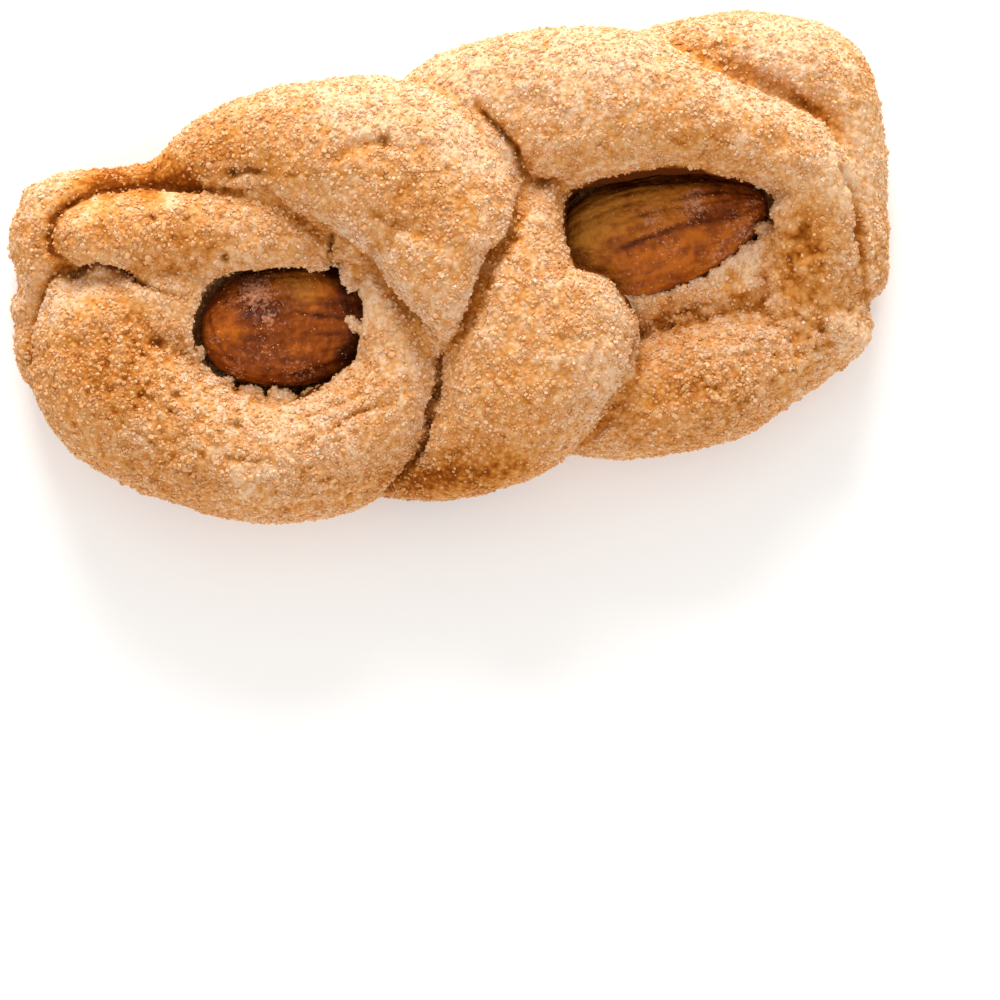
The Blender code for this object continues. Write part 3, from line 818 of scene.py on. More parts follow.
HOLLOW_PAINTED_SHADE = 0.18
BLOTCH_BAKE = 0.12
SPECKLE_BAKE = 0.14
LOW_SIDE_PAINTED_SHADE = 0.14
FOLD_EDGE_SUGAR_AND_HIGHLIGHT = 0.18
LAMP_SIDE_PAINTED_LIGHT = 0.26


def patch_sum(points, patches):
    """Sum of soft round patches on the plan."""
    total = np.zeros(len(points))
    for x, y, radius, amount in patches:
        gap = spot_distance(points, x, y) / radius
        total += amount * np.exp(-1.5 * gap ** 2)
    return total


wander = smooth_skin.copy()
wander[:, 0] += WANDER * noise_at(smooth_skin, 4.0, 61.0)
wander[:, 1] += WANDER * noise_at(smooth_skin, 4.0, 83.0)
browning_and_painted_light = patch_sum(wander, BROWNING_AND_SHADE) - patch_sum(wander, PALER_AND_LIT)
bake_and_painted_light = (PLAIN_BAKE + browning_and_painted_light + RIM_BAKE * unit(1.0 - smooth_skin[:, 2] / RIM_HEIGHT)
        # Painted shade in the wide and the fine hollows
        + HOLLOW_PAINTED_SHADE * np.clip(wide_hollow, -0.6, 1.0)
        + (1.0 + 0.5 * coarse) * np.clip(fine_hollow, -0.10, 0.25)
        + BLOTCH_BAKE * noise_at(smooth_skin, 5.0, 71.0)
        + SPECKLE_BAKE * noise_at(smooth_skin, 1.6, 91.0)
        # Brown painted shade on the folds' low sides; sugar and a painted highlight on their high edges
        + LOW_SIDE_PAINTED_SHADE * low_side_shade - FOLD_EDGE_SUGAR_AND_HIGHLIGHT * sugared_lit_edges
        # Painted light on the side that faces the key lamp
        - LAMP_SIDE_PAINTED_LIGHT * unit(skin_normals[:, 1]))
bake_and_painted_light = unit(bake_and_painted_light)
crease_shade = unit(darkened)
print("bake from", round(float(bake_and_painted_light.min()), 2), "mean", round(float(bake_and_painted_light.mean()), 2))

# %% [markdown]
# Sugar clings where dough is damp and open to the air: on top and on the sides, not in the
# sockets or on torn dough, and hardly on the underside. One more number says how thick it
# lies. A socket's bare wall gets painted shade instead, in the dark colour of a fold's.

# %% Where the sugar clings
GRAIN_CLEARANCE = 0.4
# Torn dough and the brownest edges hold little sugar. Each patch: x, y, radius in millimetres
BARE = [(34.6, -5.0, 4.4), (34.0, -9.0, 3.4), (27.4, -8.6, 1.6), (-34.0, 15.2, 4.5),
        (-27.0, 14.6, 4.5), (-5.0, -21.6, 4.0), (0.6, -21.2, 3.6), (-38.6, 9.0, 1.6),
        (40.6, 0.0, 4.0), (43.0, 5.0, 3.6), (-8.9, -3.4, 1.8), (6.8, 13.2, 1.5), (8.4, 10.4, 1.5)]
# Dough lies over the left almond's tip here
OVER_TIP = [(-8.2, 2.2, 8.5)]
SOCKET_OUTER = 1.34
SOCKET_INNER = 1.22
SOCKET_PAINTED_SHADE = 0.50
CRUMB_REACH = 1.4
CRUMB_SUGAR = 0.65
CRUMB_PALER = 0.10


def near_almonds(points, outer, inner):
    """1 where a point is nearer an almond than inner times its own size, 0 beyond outer.
    Above the almond's middle, height counts half, so a whole socket wall is near."""
    inside = np.zeros(len(points))
    for fact in ALMONDS.values():
        to_almond = np.array(almond_pose(fact).inverted())
        local = points @ to_almond[:3, :3].T + to_almond[:3, 3]
        share = np.clip(2.0 * local[:, 0] / ALMOND_LENGTH, -0.98, 0.98)
        radius = np.sqrt(1.0 - share ** 2) * (1.0 - ALMOND_TAPER * share)
        height = np.where(local[:, 2] > 0.0, 0.5, 1.0) * local[:, 2]
        reach = np.sqrt((2.0 * local[:, 1] / ALMOND_WIDTH) ** 2
                        + (2.0 * height / ALMOND_THICKNESS) ** 2) / radius
        reach = np.maximum(reach, np.abs(2.0 * local[:, 0] / ALMOND_LENGTH))
        inside = np.maximum(inside, unit((outer - reach) / (outer - inner)))
    return inside


on_wall = unit((0.48 - skin_normals[:, 2]) / 0.15)
open_wall = on_wall * (1.0 - patch_mask(smooth_skin, OVER_TIP))
in_socket = near_almonds(smooth_skin, SOCKET_OUTER, SOCKET_INNER) * open_wall
thick = (0.66 + 0.45 * noise_at(smooth_skin, 3.4, 101.0) + 0.75 * noise_at(smooth_skin, 1.5, 131.0)
         + 0.30 * coarse + 0.30 * sugared_lit_edges)
underside = np.clip((skin_normals[:, 2] + 0.55) / 0.4, 0.04, 1.0)
bare = patch_mask(smooth_skin, BARE)
sugar = np.clip(thick, 0.25, 1.3) * underside * (1.0 - in_socket) * (1.0 - 0.85 * bare)
sugar *= 1.0 - 0.75 * unit(darkened)
# Painted shade on the socket walls: a browner bake
bake_and_painted_light = unit(bake_and_painted_light + SOCKET_PAINTED_SHADE * in_socket)
on_crumb = np.zeros(len(smooth_skin))
for x, y, z, radius in RIM_CRUMBS:
    gap = np.linalg.norm(smooth_skin - (x, y, z), axis=1) / radius
    on_crumb = np.maximum(on_crumb, unit(4.0 * (CRUMB_REACH - gap)))
# and the dark painted-shade colour of a fold, but not on the crumbs
crease_shade = np.maximum(crease_shade, in_socket * (1.0 - on_crumb))
sugar = np.maximum(sugar, CRUMB_SUGAR * on_crumb)
bake_and_painted_light -= CRUMB_PALER * on_crumb
sugar *= np.clip(1.0 - 3.0 * fine_hollow, 0.3, 1.3)
sugar[smooth_skin[:, 2] < GRAIN_CLEARANCE] = 0.0
print("mean sugar", round(float(sugar.mean()), 2))

# %% [markdown]
# The skin moves from the plan's own place to the frame. The solids were centred on their box,
# so the same shift is measured here, from box to box, and used for every later piece.

# %% Put the skin in the frame


def add_numbers(mesh, name, values):
    """Stores one number per point, for the material and for the scattering."""
    attribute = mesh.attributes.new(name, "FLOAT", "POINT")
    attribute.data.foreach_set("value", values.astype(np.float32))


dough_low, dough_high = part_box("dough")
plan_middle = 0.5 * (smooth_skin.min(axis=0) + smooth_skin.max(axis=0))
frame_middle = 0.5 * (np.array(dough_low) + np.array(dough_high)) / MM
SHIFT = np.array([*(frame_middle - plan_middle)[:2], 0.0])
TO_FRAME = Matrix.Scale(MM, 4) @ Matrix.Translation(SHIFT)
for name, values in (("bake_and_painted_light", bake_and_painted_light), ("crease_shade", crease_shade), ("sugar", sugar)):
    add_numbers(skin.data, name, values)
skin.data.transform(TO_FRAME)
skin.data.shade_smooth()
print("shift in mm", SHIFT.round(2).tolist())

# %% [markdown]
# Short dough is matt and slightly translucent. Its material reads the bake number for the
# colour, painted light and shade included, and breaks it up with noise and with small cells,
# each of its own tone. Bare dough runs through golden tones and sugared dough through peach
# ones, and the crease shade number paints shade into the folds, pits and socket walls. The
# finest crumb is bump, since it is smaller than any facet. A little light passes below the
# surface, which warms the shaded sides. One helper adds every node: it joins an input where it
# is handed a socket, and sets it otherwise.

# %% The dough's material
GOLDEN_TONES = [
    (0.00, (0.71, 0.46, 0.270)), (0.30, (0.61, 0.290, 0.095)), (0.55, (0.51, 0.192, 0.036)),
    (0.78, (0.36, 0.106, 0.010)), (1.00, (0.20, 0.043, 0.002)),
]
PEACH_TONES = [
    (0.00, (0.71, 0.48, 0.330)), (0.30, (0.64, 0.315, 0.130)), (0.55, (0.54, 0.212, 0.055)),
    (0.78, (0.39, 0.120, 0.015)), (1.00, (0.22, 0.050, 0.004)),
]
# The colour of painted shade in folds, pits and socket walls
CREASE_SHADE_COLOUR = (0.090, 0.018, 0.002, 1.0)
SPECKLE_SIZE = 0.0013
CELL_SIZE = 0.00055
FINE_SIZE = 0.00035
CRUMB_BUMP = 0.00012
# A Mix node's sockets for colours
FIRST_COLOUR = 6
SECOND_COLOUR = 7
MIXED_COLOUR = 2


def new_material(name):
    material = bpy.data.materials.new(name)
    material.use_nodes = True
    tree = material.node_tree
    return material, tree, tree.nodes["Principled BSDF"]


def fill(tree, node, inputs):
    """Sets each named input, or joins it where it is given a socket."""
    for name, value in inputs.items():
        if isinstance(value, bpy.types.NodeSocket):
            tree.links.new(value, node.inputs[name])
        else:
            node.inputs[name].default_value = value


def add_node(tree, kind, inputs=None, **settings):
    node = tree.nodes.new(kind)
    for name, value in settings.items():
        setattr(node, name, value)
    fill(tree, node, inputs or {})
    return node


def attribute_value(tree, name):
    return add_node(tree, "ShaderNodeAttribute", attribute_name=name).outputs["Fac"]


def on_object(tree):
    """The object's own coordinates."""
    return add_node(tree, "ShaderNodeTexCoord").outputs["Object"]


def noise_value(tree, size, detail=3.0):
    """Noise with features of that size in metres."""
    inputs = {"Vector": on_object(tree), "Scale": 1.0 / size, "Detail": detail}
    return add_node(tree, "ShaderNodeTexNoise", inputs).outputs["Fac"]


def scaled_sum(tree, value, other, factor, offset):
    """value + other * factor + offset."""
    inputs = {0: other, 1: factor, 2: offset}
    product = add_node(tree, "ShaderNodeMath", inputs, operation="MULTIPLY_ADD")
    inputs = {0: value, 1: product.outputs[0]}
    return add_node(tree, "ShaderNodeMath", inputs, operation="ADD").outputs[0]


def tone_ramp(tree, value, tones):
    ramp = add_node(tree, "ShaderNodeValToRGB", {"Fac": value})
    stops = ramp.color_ramp.elements
    while len(stops) < len(tones):
        stops.new(0.5)
    for stop, (position, colour) in zip(stops, tones):
        stop.position = position
        stop.color = (*colour, 1.0)
    return ramp.outputs["Color"]


def mixed(tree, share, first, second):
    """first where share is 0 and second where it is 1. Each is a socket or a colour."""
    inputs = {"Factor": share, FIRST_COLOUR: first, SECOND_COLOUR: second}
    return add_node(tree, "ShaderNodeMix", inputs, data_type="RGBA").outputs[MIXED_COLOUR]


def clamped(tree, value):
    """The value kept between 0 and 1."""
    return add_node(tree, "ShaderNodeClamp", {"Value": value}).outputs[0]


def bump(tree, height, distance):
    inputs = {"Height": height, "Distance": distance, "Strength": 1.0}
    return add_node(tree, "ShaderNodeBump", inputs).outputs["Normal"]


def cells(tree, size):
    """Distance from the middle of the nearest cell, and that cell's own random number."""
    inputs = {"Vector": on_object(tree), "Scale": 1.0 / size}
    node = add_node(tree, "ShaderNodeTexVoronoi", inputs)
    split = add_node(tree, "ShaderNodeSeparateColor", {"Color": node.outputs["Color"]})
    return node.outputs["Distance"], split.outputs["Red"]


def dough_material():
    material, tree, shader = new_material("sugared_dough")
    speckle = noise_value(tree, SPECKLE_SIZE, detail=4.0)
    fine = noise_value(tree, FINE_SIZE, detail=2.0)
    from_middle, own_tone = cells(tree, CELL_SIZE)
    value = scaled_sum(tree, attribute_value(tree, "bake_and_painted_light"), speckle, 0.75, -0.375)
    value = scaled_sum(tree, value, from_middle, 0.40, -0.20)
    value = scaled_sum(tree, value, own_tone, 0.22, -0.11)
    sugared = scaled_sum(tree, attribute_value(tree, "sugar"), speckle, 3.0, -2.0)
    golden = tone_ramp(tree, value, GOLDEN_TONES)
    peach = tone_ramp(tree, value, PEACH_TONES)
    colour = mixed(tree, clamped(tree, sugared), golden, peach)
    height = scaled_sum(tree, fine, from_middle, -1.4, 0.0)
    fill(tree, shader, {
        # Painted shade laid over the colour where the crease shade number is high
        "Base Color": mixed(tree, attribute_value(tree, "crease_shade"), colour, CREASE_SHADE_COLOUR),
        "Normal": bump(tree, height, CRUMB_BUMP),
        "Roughness": 0.78,
        "Specular IOR Level": 0.05,
        "Subsurface Weight": 0.12,
        "Subsurface Radius": (0.0012, 0.0006, 0.0003),
        "Subsurface Scale": 1.0,
    })
    return material


skin.data.materials.clear()
skin.data.materials.append(dough_material())
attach(skin, BODY)
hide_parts("dough")
print("dough skin:", triangles_in(skin.data), "triangles")

# %% [markdown]
# An almond's brown skin shrinks as it dries and toasts, and wrinkles lengthwise from the
# blunt end to the point. Ridged noise, fine round the almond and slow along it, gives these
# wrinkles. The longer furrows of these two almonds are drawn as lines on the plan, in the
# way of the dough's folds.

# %% Wrinkled almonds
# Patches of painted shade (positive) and painted light (negative): x, y, radius in millimetres, and
# amount
PAINTED_SHADE_AND_LIGHT = {
    "almond_left": [(-20.0, -0.3, 2.2, 0.25), (-12.2, 2.2, 1.0, 1.0), (-24.2, -1.6, 2.4, -0.22),
                    (-14.0, 1.2, 3.2, -0.20), (-16.0, -5.4, 3.0, -0.05), (-24.6, 2.2, 1.6, 0.3),
                    (-11.0, 0.2, 1.5, 0.9), (-10.9, -1.8, 1.3, 1.0), (-10.9, -5.0, 1.5, 0.9),
                    (-12.6, -6.4, 1.2, 0.6), (-19.0, -3.6, 2.5, 0.10)],
    "almond_right": [(13.1, -0.7, 2.2, -0.35), (30.8, 2.2, 1.8, 0.40), (25.8, -0.4, 1.5, 0.10),
                     (17.0, -4.8, 3.6, -0.45), (22.5, -4.4, 3.6, -0.40), (27.0, -3.4, 2.8, -0.20),
                     (15.5, 2.5, 4.0, -0.62), (21.5, 2.6, 4.0, -0.62), (26.0, 2.8, 2.5, -0.30)],
}
ALMOND_RINGS = 170
ALMOND_SIDES = 140
RIDGE_DEPTH = 0.15
FINE_RIDGE_DEPTH = 0.10
RIDGES_ROUND = 2.2
RIDGES_ALONG = 0.9
SMOOTH_END = 0.12
FURROWS = {
    "almond_left": [
        ([(-17.6, -0.9), (-15.6, -1.6), (-13.4, -2.3), (-11.4, -2.9)], 0.20, 0.30),
        ([(-16.6, -3.4), (-14.4, -3.9), (-11.9, -4.4)], 0.20, 0.20),
        ([(-16.2, 0.2), (-14.0, -0.3), (-11.8, -1.2)], 0.18, 0.18),
        ([(-22.0, 0.2), (-20.0, -0.2), (-17.8, -0.4)], 0.80, 0.26),
        ([(-25.0, 1.4), (-25.3, -0.8), (-24.6, -3.6), (-22.8, -5.8)], 0.18, 0.14),
        ([(-19.4, -7.2), (-16.4, -7.4), (-13.4, -6.9)], 0.30, 0.30),
    ],
    "almond_right": [
        ([(13.2, 3.9), (15.9, 4.7), (20.0, 4.9), (24.9, 4.1), (29.1, 2.6)], 0.80, 0.42),
        ([(15.0, -2.6), (16.4, -1.9), (18.4, -1.4), (20.6, -1.1), (23.4, -0.6), (25.9, -0.5)],
         0.24, 0.40),
        ([(16.0, 0.5), (18.6, 1.2), (21.4, 1.4), (24.6, 1.2)], 0.22, 0.25),
        ([(13.4, 1.7), (16.6, 2.5), (20.6, 2.7)], 0.20, 0.20),
        ([(14.2, 3.0), (17.6, 3.7), (22.6, 3.6)], 0.20, 0.18),
        ([(14.6, -5.1), (18.0, -5.6), (22.0, -5.4)], 0.20, 0.12),
        ([(22.6, 2.0), (25.4, 2.2), (28.2, 1.8)], 0.20, 0.22),
        ([(23.6, 0.3), (25.6, -0.2), (27.8, -0.6)], 0.75, 0.22),
    ],
}


def wrinkled_almond(name, fact):
    """An almond's skin in its place on the plan, and each point's painted shade and light."""
    points, share, angle = almond_points(ALMOND_RINGS, ALMOND_SIDES)
    mesh = outward(mesh_from(name, points, almond_faces(ALMOND_RINGS, ALMOND_SIDES)))
    seed = fact["place"][0]
    around = np.column_stack([RIDGES_ROUND * np.cos(angle), RIDGES_ROUND * np.sin(angle),
                              RIDGES_ALONG * share]) + seed
    ridges = ridged(noise_at(around, 1.0))
    fine_ridges = ridged(noise_at(around * np.array([2.6, 2.6, 1.5]), 1.0, 9.0))
    ends = unit((1.0 - np.abs(share)) / SMOOTH_END)
    push = -(RIDGE_DEPTH * ridges + FINE_RIDGE_DEPTH * fine_ridges) * ends
    set_points(mesh, points + normals_of(mesh) * push[:, None])
    mesh.transform(almond_pose(fact))
    placed = points_of(mesh)
    facing = normals_of(mesh)
    deep = np.zeros(len(placed))
    for line, half_width, depth in FURROWS[name]:
        gap, along, _ = side_distance(placed[:, :2], line)
        fade = np.sin(math.pi * np.clip(along, 0.05, 0.95)) ** 0.6
        deep = np.maximum(deep, depth * fade * bell(gap, half_width))
    deep *= unit(facing[:, 2] / 0.3)
    set_points(mesh, placed - facing * deep[:, None])
    # Painted shade in the grooves and furrows, plus the patches of painted shade and light
    almond_shade_and_light = (0.22 + 0.20 * ridges + 0.20 * fine_ridges + 1.35 * deep
              + patch_sum(placed, PAINTED_SHADE_AND_LIGHT[name]))
    return mesh, unit(almond_shade_and_light)


almond_meshes = {name: wrinkled_almond(name, fact) for name, fact in ALMONDS.items()}
print({name: len(mesh.vertices) for name, (mesh, _) in almond_meshes.items()})

# %% [markdown]
# The almond's skin is a satin red-brown, with painted shade in its furrows, and a few patches
# that are paler and more ochre, so it runs through two ramps of tones and mixes them. Sugar
# dusts it where the cookie was rolled, and the same patches carry a painted highlight. Dust is a
# soft patch on the plan, broken up by noise in the material.

# %% The almonds' material
ALMOND_TONES = [
    (0.00, (0.40, 0.098, 0.006)), (0.30, (0.25, 0.053, 0.004)),
    (0.65, (0.135, 0.025, 0.002)), (1.00, (0.050, 0.008, 0.001)),
]
OCHRE_TONES = [
    (0.00, (0.44, 0.165, 0.020)), (0.30, (0.30, 0.095, 0.010)),
    (0.65, (0.15, 0.036, 0.003)), (1.00, (0.055, 0.011, 0.001)),
]
# The pale pink of sugar dust, also used as a painted highlight on it
DUST_AND_HIGHLIGHT_COLOUR = (0.50, 0.215, 0.115, 1.0)
BLOTCH_SIZE = 0.0022
MOTTLE_SIZE = 0.0009
ALMOND_BUMP = 0.00013
# Each patch of sugar dust with a painted highlight: x, y, radius in millimetres, and how thick
DUST_AND_HIGHLIGHT = {
    "almond_left": [(-20.2, 1.7, 2.3, 1.00), (-19.2, -1.4, 1.0, 0.75), (-25.1, -2.2, 0.9, 0.50),
                    (-23.8, -5.4, 1.2, 0.55), (-17.5, -7.0, 2.0, 0.45), (-20.6, -4.2, 2.2, 0.32)],
    "almond_right": [(24.7, 1.3, 1.7, 1.00), (29.3, -2.4, 2.0, 0.72), (30.8, 0.4, 1.3, 0.45),
                     (20.4, 0.3, 1.6, 0.62), (26.4, -4.2, 1.8, 0.55), (17.0, -6.4, 2.0, 0.40),
                     (21.4, -2.8, 1.5, 0.38)],
}
# Each patch of paler, yellower skin, in the same way
OCHRE = {
    "almond_left": [(-15.6, 1.0, 2.4, 0.80)],
    "almond_right": [(15.0, 2.4, 4.5, 0.90), (21.0, 3.0, 3.6, 0.60), (12.4, -0.6, 2.5, 0.6)],
}


def almond_material():
    material, tree, shader = new_material("almond_skin")
    blotch = noise_value(tree, BLOTCH_SIZE, detail=3.0)
    mottle = noise_value(tree, MOTTLE_SIZE, detail=1.5)
    fine = noise_value(tree, FINE_SIZE, detail=3.0)
    value = scaled_sum(tree, attribute_value(tree, "almond_shade_and_light"), blotch, 0.70, -0.35)
    value = scaled_sum(tree, value, mottle, 1.0, -0.48)
    brown = tone_ramp(tree, value, ALMOND_TONES)
    ochre = tone_ramp(tree, value, OCHRE_TONES)
    colour = mixed(tree, attribute_value(tree, "ochre"), brown, ochre)
    dusty_and_lit = scaled_sum(tree, attribute_value(tree, "dust_and_highlight"), fine, 3.0, -1.85)
    relief = scaled_sum(tree, fine, mottle, 2.0, 0.0)
    fill(tree, shader, {
        "Base Color": mixed(tree, clamped(tree, dusty_and_lit), colour, DUST_AND_HIGHLIGHT_COLOUR),
        "Normal": bump(tree, relief, ALMOND_BUMP),
        "Roughness": 0.36,
        "Specular IOR Level": 0.08,
    })
    return material


skin_brown = almond_material()
almond_objects = {}
for name, (mesh, almond_shade_and_light) in almond_meshes.items():
    placed = points_of(mesh)
    dust_and_highlight = unit(patch_sum(placed, DUST_AND_HIGHLIGHT[name]))
    add_numbers(mesh, "almond_shade_and_light", almond_shade_and_light)
    add_numbers(mesh, "dust_and_highlight", dust_and_highlight)
    add_numbers(mesh, "ochre", unit(patch_sum(placed, OCHRE[name])))
    clusters = unit(0.5 + 2.0 * noise_at(placed, 1.1, 151.0))
    add_numbers(mesh, "sugar", dust_and_highlight * clusters + 0.02)
    add_numbers(mesh, "bake_and_painted_light", np.full(len(placed), 0.5))
    mesh.transform(TO_FRAME)
    mesh.shade_smooth()
    mesh.materials.append(skin_brown)
    nut = object_from(name + "_skin", mesh)
    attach(nut, BODY)
    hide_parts(name)
    almond_objects[name] = nut
print("almonds:", sorted(almond_objects))

# %% [markdown]
# Sugar is the cookie's whole surface: thousands of crystals, a fifth to half a millimetre
# wide, lying any way up and half sunk in the dough. Painting them would look flat at the
# rim, so they are real grains. Geometry Nodes scatter them: points on the skin, as many as
# the sugar number asks for, one small crystal on each, turned and stretched at random. The
# points also carry the skin's bake number, with its painted light and shade, so a grain takes
# some colour and painted shade from the dough that it is stuck to, and a random tone of its own.

# %% A tree that scatters grains
# Each crystal: Blender's mesh node, its sizes about one unit wide, and its number of triangles
CRYSTALS = {
    "cube": ("Cube", {"Size": (1.0, 0.8, 0.7)}, 12),
    "octahedron": ("UVSphere", {"Segments": 4, "Rings": 2, "Radius": 0.6}, 8),
    "splinter": ("Cone", {"Vertices": 3, "Radius Bottom": 0.6, "Depth": 0.8}, 4),
    "crumb": ("IcoSphere", {"Subdivisions": 1, "Radius": 0.5}, 20),
}
LEAST_STRETCH = (0.7, 0.7, 0.7)
MOST_STRETCH = (1.25, 1.25, 1.25)
NO_TURN = (0.0, 0.0, 0.0)
FULL_TURN = (6.283, 6.283, 6.283)


def random_value(tree, kind, low, high, salt):
    """A random number or vector for each point."""
    first, result = (0, 0) if kind == "FLOAT_VECTOR" else (2, 1)
    inputs = {first: low, first + 1: high, "Seed": salt}
    return add_node(tree, "FunctionNodeRandomValue", inputs, data_type=kind).outputs[result]


def scatter_tree(shape):
    """Grains of one shape on a surface. Density is per square metre, sizes are in metres."""
    tree = bpy.data.node_groups.new("scatter_" + shape, "GeometryNodeTree")
    for name, kind in (("Surface", "Geometry"), ("Density", "Float"), ("Smallest", "Float"),
                       ("Largest", "Float"), ("Seed", "Int"), ("Finish", "Material")):
        tree.interface.new_socket(name, in_out="INPUT", socket_type="NodeSocket" + kind)
    tree.interface.new_socket("Grains", in_out="OUTPUT", socket_type="NodeSocketGeometry")
    given = add_node(tree, "NodeGroupInput").outputs
    sugar_here = add_node(tree, "GeometryNodeInputNamedAttribute", {"Name": "sugar"},
                          data_type="FLOAT").outputs["Attribute"]
    amount = add_node(tree, "ShaderNodeMath", {0: sugar_here, 1: given["Density"]},
                      operation="MULTIPLY").outputs[0]
    points = add_node(tree, "GeometryNodeDistributePointsOnFaces", {
        "Mesh": given["Surface"], "Density": amount, "Seed": given["Seed"]}).outputs["Points"]
    toned = add_node(tree, "GeometryNodeStoreNamedAttribute", {
        "Geometry": points, "Name": "tone", "Value": random_value(tree, "FLOAT", 0.15, 0.85, 3),
    }, data_type="FLOAT", domain="POINT").outputs["Geometry"]
    size = random_value(tree, "FLOAT", given["Smallest"], given["Largest"], 5)
    stretch = random_value(tree, "FLOAT_VECTOR", LEAST_STRETCH, MOST_STRETCH, 7)
    mesh_kind, mesh_sizes, _ = CRYSTALS[shape]
    placed = add_node(tree, "GeometryNodeInstanceOnPoints", {
        "Points": toned,
        "Instance": add_node(tree, "GeometryNodeMesh" + mesh_kind, mesh_sizes).outputs["Mesh"],
        "Rotation": random_value(tree, "FLOAT_VECTOR", NO_TURN, FULL_TURN, 9),
        "Scale": add_node(tree, "ShaderNodeVectorMath", {0: stretch, "Scale": size},
                          operation="SCALE").outputs[0],
    }).outputs["Instances"]
    real = add_node(tree, "GeometryNodeRealizeInstances", {"Geometry": placed}).outputs["Geometry"]
    finished = add_node(tree, "GeometryNodeSetMaterial", {
        "Geometry": real, "Material": given["Finish"]}).outputs["Geometry"]
    add_node(tree, "NodeGroupOutput", {"Grains": finished})
    return tree


trees = {shape: scatter_tree(shape) for shape in CRYSTALS}
print("trees:", sorted(trees))

# %% [markdown]
# One call scatters one kind of grain. It sets the tree's inputs by their identifiers, reads
# off the evaluated result as a plain mesh, and drops the modifier, so that each kind is an
# ordinary piece that a printer or an exporter can read. A piece with too many triangles would
# be thinned by them, so that stops the script.

# %% Scatter one kind of grain
PIECE_LIMIT = 200_000


def scattered(name, surfaces, shape, density, smallest, largest, seed, finish):
    """A piece made of all the grains of one kind. Density is per square millimetre."""
    meshes = []
    for offset, surface in enumerate(surfaces):
        carrier = object_from("carrier", surface.data)
        change = carrier.modifiers.new("scatter", "NODES")
        change.node_group = trees[shape]
        socket_of = {item.name: item.identifier for item in trees[shape].interface.items_tree}
        change[socket_of["Density"]] = density / MM ** 2
        change[socket_of["Smallest"]] = smallest * MM
        change[socket_of["Largest"]] = largest * MM
        change[socket_of["Seed"]] = seed + offset
        change[socket_of["Finish"]] = finish
        meshes.append(bpy.data.meshes.new_from_object(
            carrier.evaluated_get(bpy.context.evaluated_depsgraph_get())))
        carrier.modifiers.clear()
        bpy.data.objects.remove(carrier, do_unlink=True)
    mesh = joined(meshes)
    mesh.materials.clear()
    mesh.materials.append(finish)
    piece = object_from(name, mesh)
    triangles = triangles_in(mesh)
    print(name, triangles // CRYSTALS[shape][2], "grains,", triangles, "triangles")
    if triangles >= PIECE_LIMIT:
        raise ValueError(name + " has too many triangles for one piece")
    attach(piece, BODY)
    return piece


# %% [markdown]
# A sugar crystal is clear, but a coat of them on warm dough reads as cream, peach and amber,
# with bright points where a facet catches the lamp. The grain's material mixes its own tone
# with the dough's bake number, painted light and shade included, and lets light pass a little
# below the surface, as a crystal does. The finest sugar is dust, so it is rougher and lets none
# through.

# %% The sugar's material
GRAIN_TONES = [
    (0.00, (0.48, 0.180, 0.034)), (0.25, (0.60, 0.280, 0.096)),
    (0.60, (0.68, 0.360, 0.160)), (1.00, (0.74, 0.490, 0.320)),
]
CRUMB_TONES = [(0.00, (0.42, 0.16, 0.045)), (1.00, (0.74, 0.42, 0.20))]


def grain_material(name, tones, roughness, glow):
    material, tree, shader = new_material(name)
    tone = attribute_value(tree, "tone")
    value = scaled_sum(tree, tone, attribute_value(tree, "bake_and_painted_light"), -0.80, 0.28)
    fill(tree, shader, {
        "Base Color": tone_ramp(tree, value, tones),
        "Roughness": roughness,
        "Specular IOR Level": 0.12,
        "Subsurface Weight": glow,
        "Subsurface Radius": (0.0006, 0.0003, 0.00015),
        "Subsurface Scale": 1.0,
    })
    return material


sugar_finish = grain_material("sugar_crystal", GRAIN_TONES, 0.38, 0.35)
dust_finish = grain_material("sugar_dust", GRAIN_TONES, 0.50, 0.0)
crumb_finish = grain_material("dough_crumb", CRUMB_TONES, 0.7, 0.0)
print("sugar finishes ready")

# %% [markdown]
# The sugar's grains run from coarse to fine: cube-like crystals, smaller eight-sided ones, and
# splinters that broke off them. The almonds carry only the finest, and crumbs of the dough
# itself are scattered in the same way. Each row gives a kind's surfaces and shape, its grains
# per square millimetre, its smallest and largest size, and the seed of its random draws.

# %% Sprinkle the sugar
almond_skins = list(almond_objects.values())
SPRINKLED = [
    ("sugar_coarse", [skin], "cube", 1.2, 0.28, 0.50, 11, sugar_finish),
    ("sugar_fine", [skin], "octahedron", 3.8, 0.22, 0.46, 29, sugar_finish),
    ("sugar_splinters", [skin], "splinter", 5.0, 0.20, 0.36, 53, dust_finish),
    ("sugar_on_almonds", almond_skins, "octahedron", 14.0, 0.07, 0.17, 71, dust_finish),
    ("crumbs", [skin], "crumb", 0.16, 0.35, 0.85, 97, crumb_finish),
]
sprinkled = [scattered(*row) for row in SPRINKLED]
print("kinds of grain:", len(sprinkled))

# %% [markdown]
# The stage is a plain pale floor under a plain pale sky. The lamp is a large soft panel beyond
# the cookie's upper edge, rather low, because that edge is the brightest in the picture and
# the lower edges fall into warm shade. A weaker panel across from it and the sky fill the rest.

# %% Floor, sky and lamps
FLOOR_HALF = 3.0
FLOOR_TONES = [(0.0, (0.93, 0.93, 0.925)), (1.0, (0.94, 0.94, 0.935))]
FLOOR_MOTTLE = 0.05
SKY_COLOUR = (1.0, 0.99, 0.975, 1.0)
SKY_STRENGTH = 0.80
LAMP_COLOUR = (1.0, 0.99, 0.97)


def floor_material():
    material, tree, shader = new_material("pale_floor")
    mottle = noise_value(tree, FLOOR_MOTTLE, detail=2.0)
    fill(tree, shader, {"Base Color": tone_ramp(tree, mottle, FLOOR_TONES), "Roughness": 0.6})
    return material


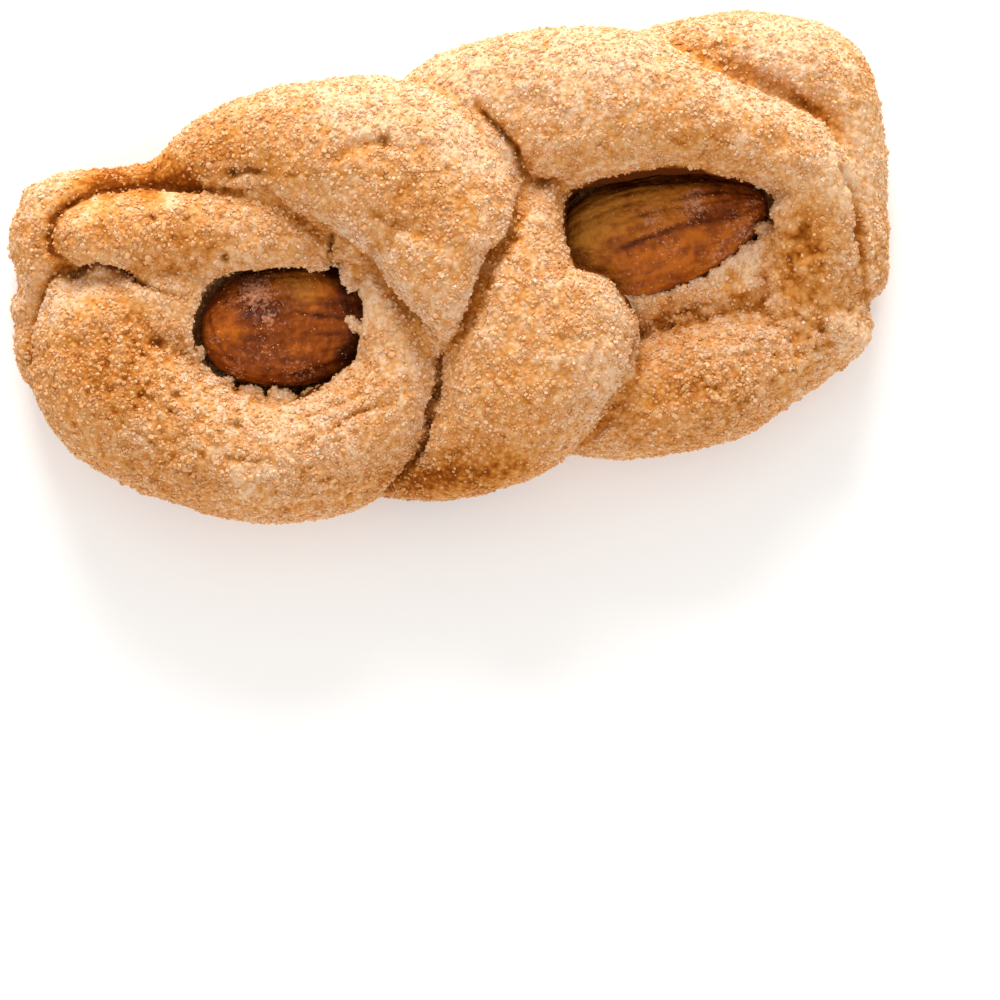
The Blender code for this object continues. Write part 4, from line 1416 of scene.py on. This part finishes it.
floor_mesh = mesh_from("floor", np.array([
    [-FLOOR_HALF, -FLOOR_HALF, 0.0], [FLOOR_HALF, -FLOOR_HALF, 0.0],
    [FLOOR_HALF, FLOOR_HALF, 0.0], [-FLOOR_HALF, FLOOR_HALF, 0.0]]), [[0, 1, 2, 3]])
floor = object_from("floor", floor_mesh)
floor.data.materials.append(floor_material())

world = bpy.data.worlds.new("sky")
world.use_nodes = True
backdrop = world.node_tree.nodes["Background"]
backdrop.inputs["Color"].default_value = SKY_COLOUR
backdrop.inputs["Strength"].default_value = SKY_STRENGTH
bpy.context.scene.world = world


def panel_lamp(name, direction, distance, size, power):
    """A square panel that shines at the cookie from that direction."""
    light = bpy.data.lights.new(name, "AREA")
    light.shape = "SQUARE"
    light.size = size
    light.energy = power
    light.color = LAMP_COLOUR
    lamp = object_from(name, light)
    way = Vector(direction).normalized()
    lamp.location = way * distance
    lamp.rotation_euler = way.to_track_quat("Z", "Y").to_euler()
    return lamp


lamps = [panel_lamp("key_lamp", (0.15, 1.0, 0.40), 0.75, 0.42, 9.2),
         panel_lamp("fill_lamp", (-0.15, -1.0, 0.9), 0.9, 0.7, 3.0)]
print("lamps:", [lamp.name for lamp in lamps])

# %% [markdown]
# The cookie lies down here, so the camera looks straight down on it and keeps the picture's
# framing: the cookie fills the upper half, turned by the angle that it had in the stack. A
# long lens from just over half a metre away keeps the perspective as flat as in the picture.

# %% Camera
CAMERA_HEIGHT = 0.55
SURFACE_HEIGHT = 0.014
FRAME_WIDTH = 0.100
PICTURE_MIDDLE = (-0.00038, -0.02333)
PICTURE_TURN = math.radians(-12.0)
camera_data = bpy.data.cameras.new("camera")
camera_data.sensor_width = 36.0
camera_data.lens = camera_data.sensor_width * (CAMERA_HEIGHT - SURFACE_HEIGHT) / FRAME_WIDTH
camera = object_from("camera", camera_data)
camera.location = (*PICTURE_MIDDLE, CAMERA_HEIGHT)
camera.rotation_euler = (0.0, 0.0, PICTURE_TURN)
bpy.context.scene.camera = camera
bpy.context.scene.view_settings.view_transform = "Standard"
print("lens", round(camera_data.lens, 1), "mm")
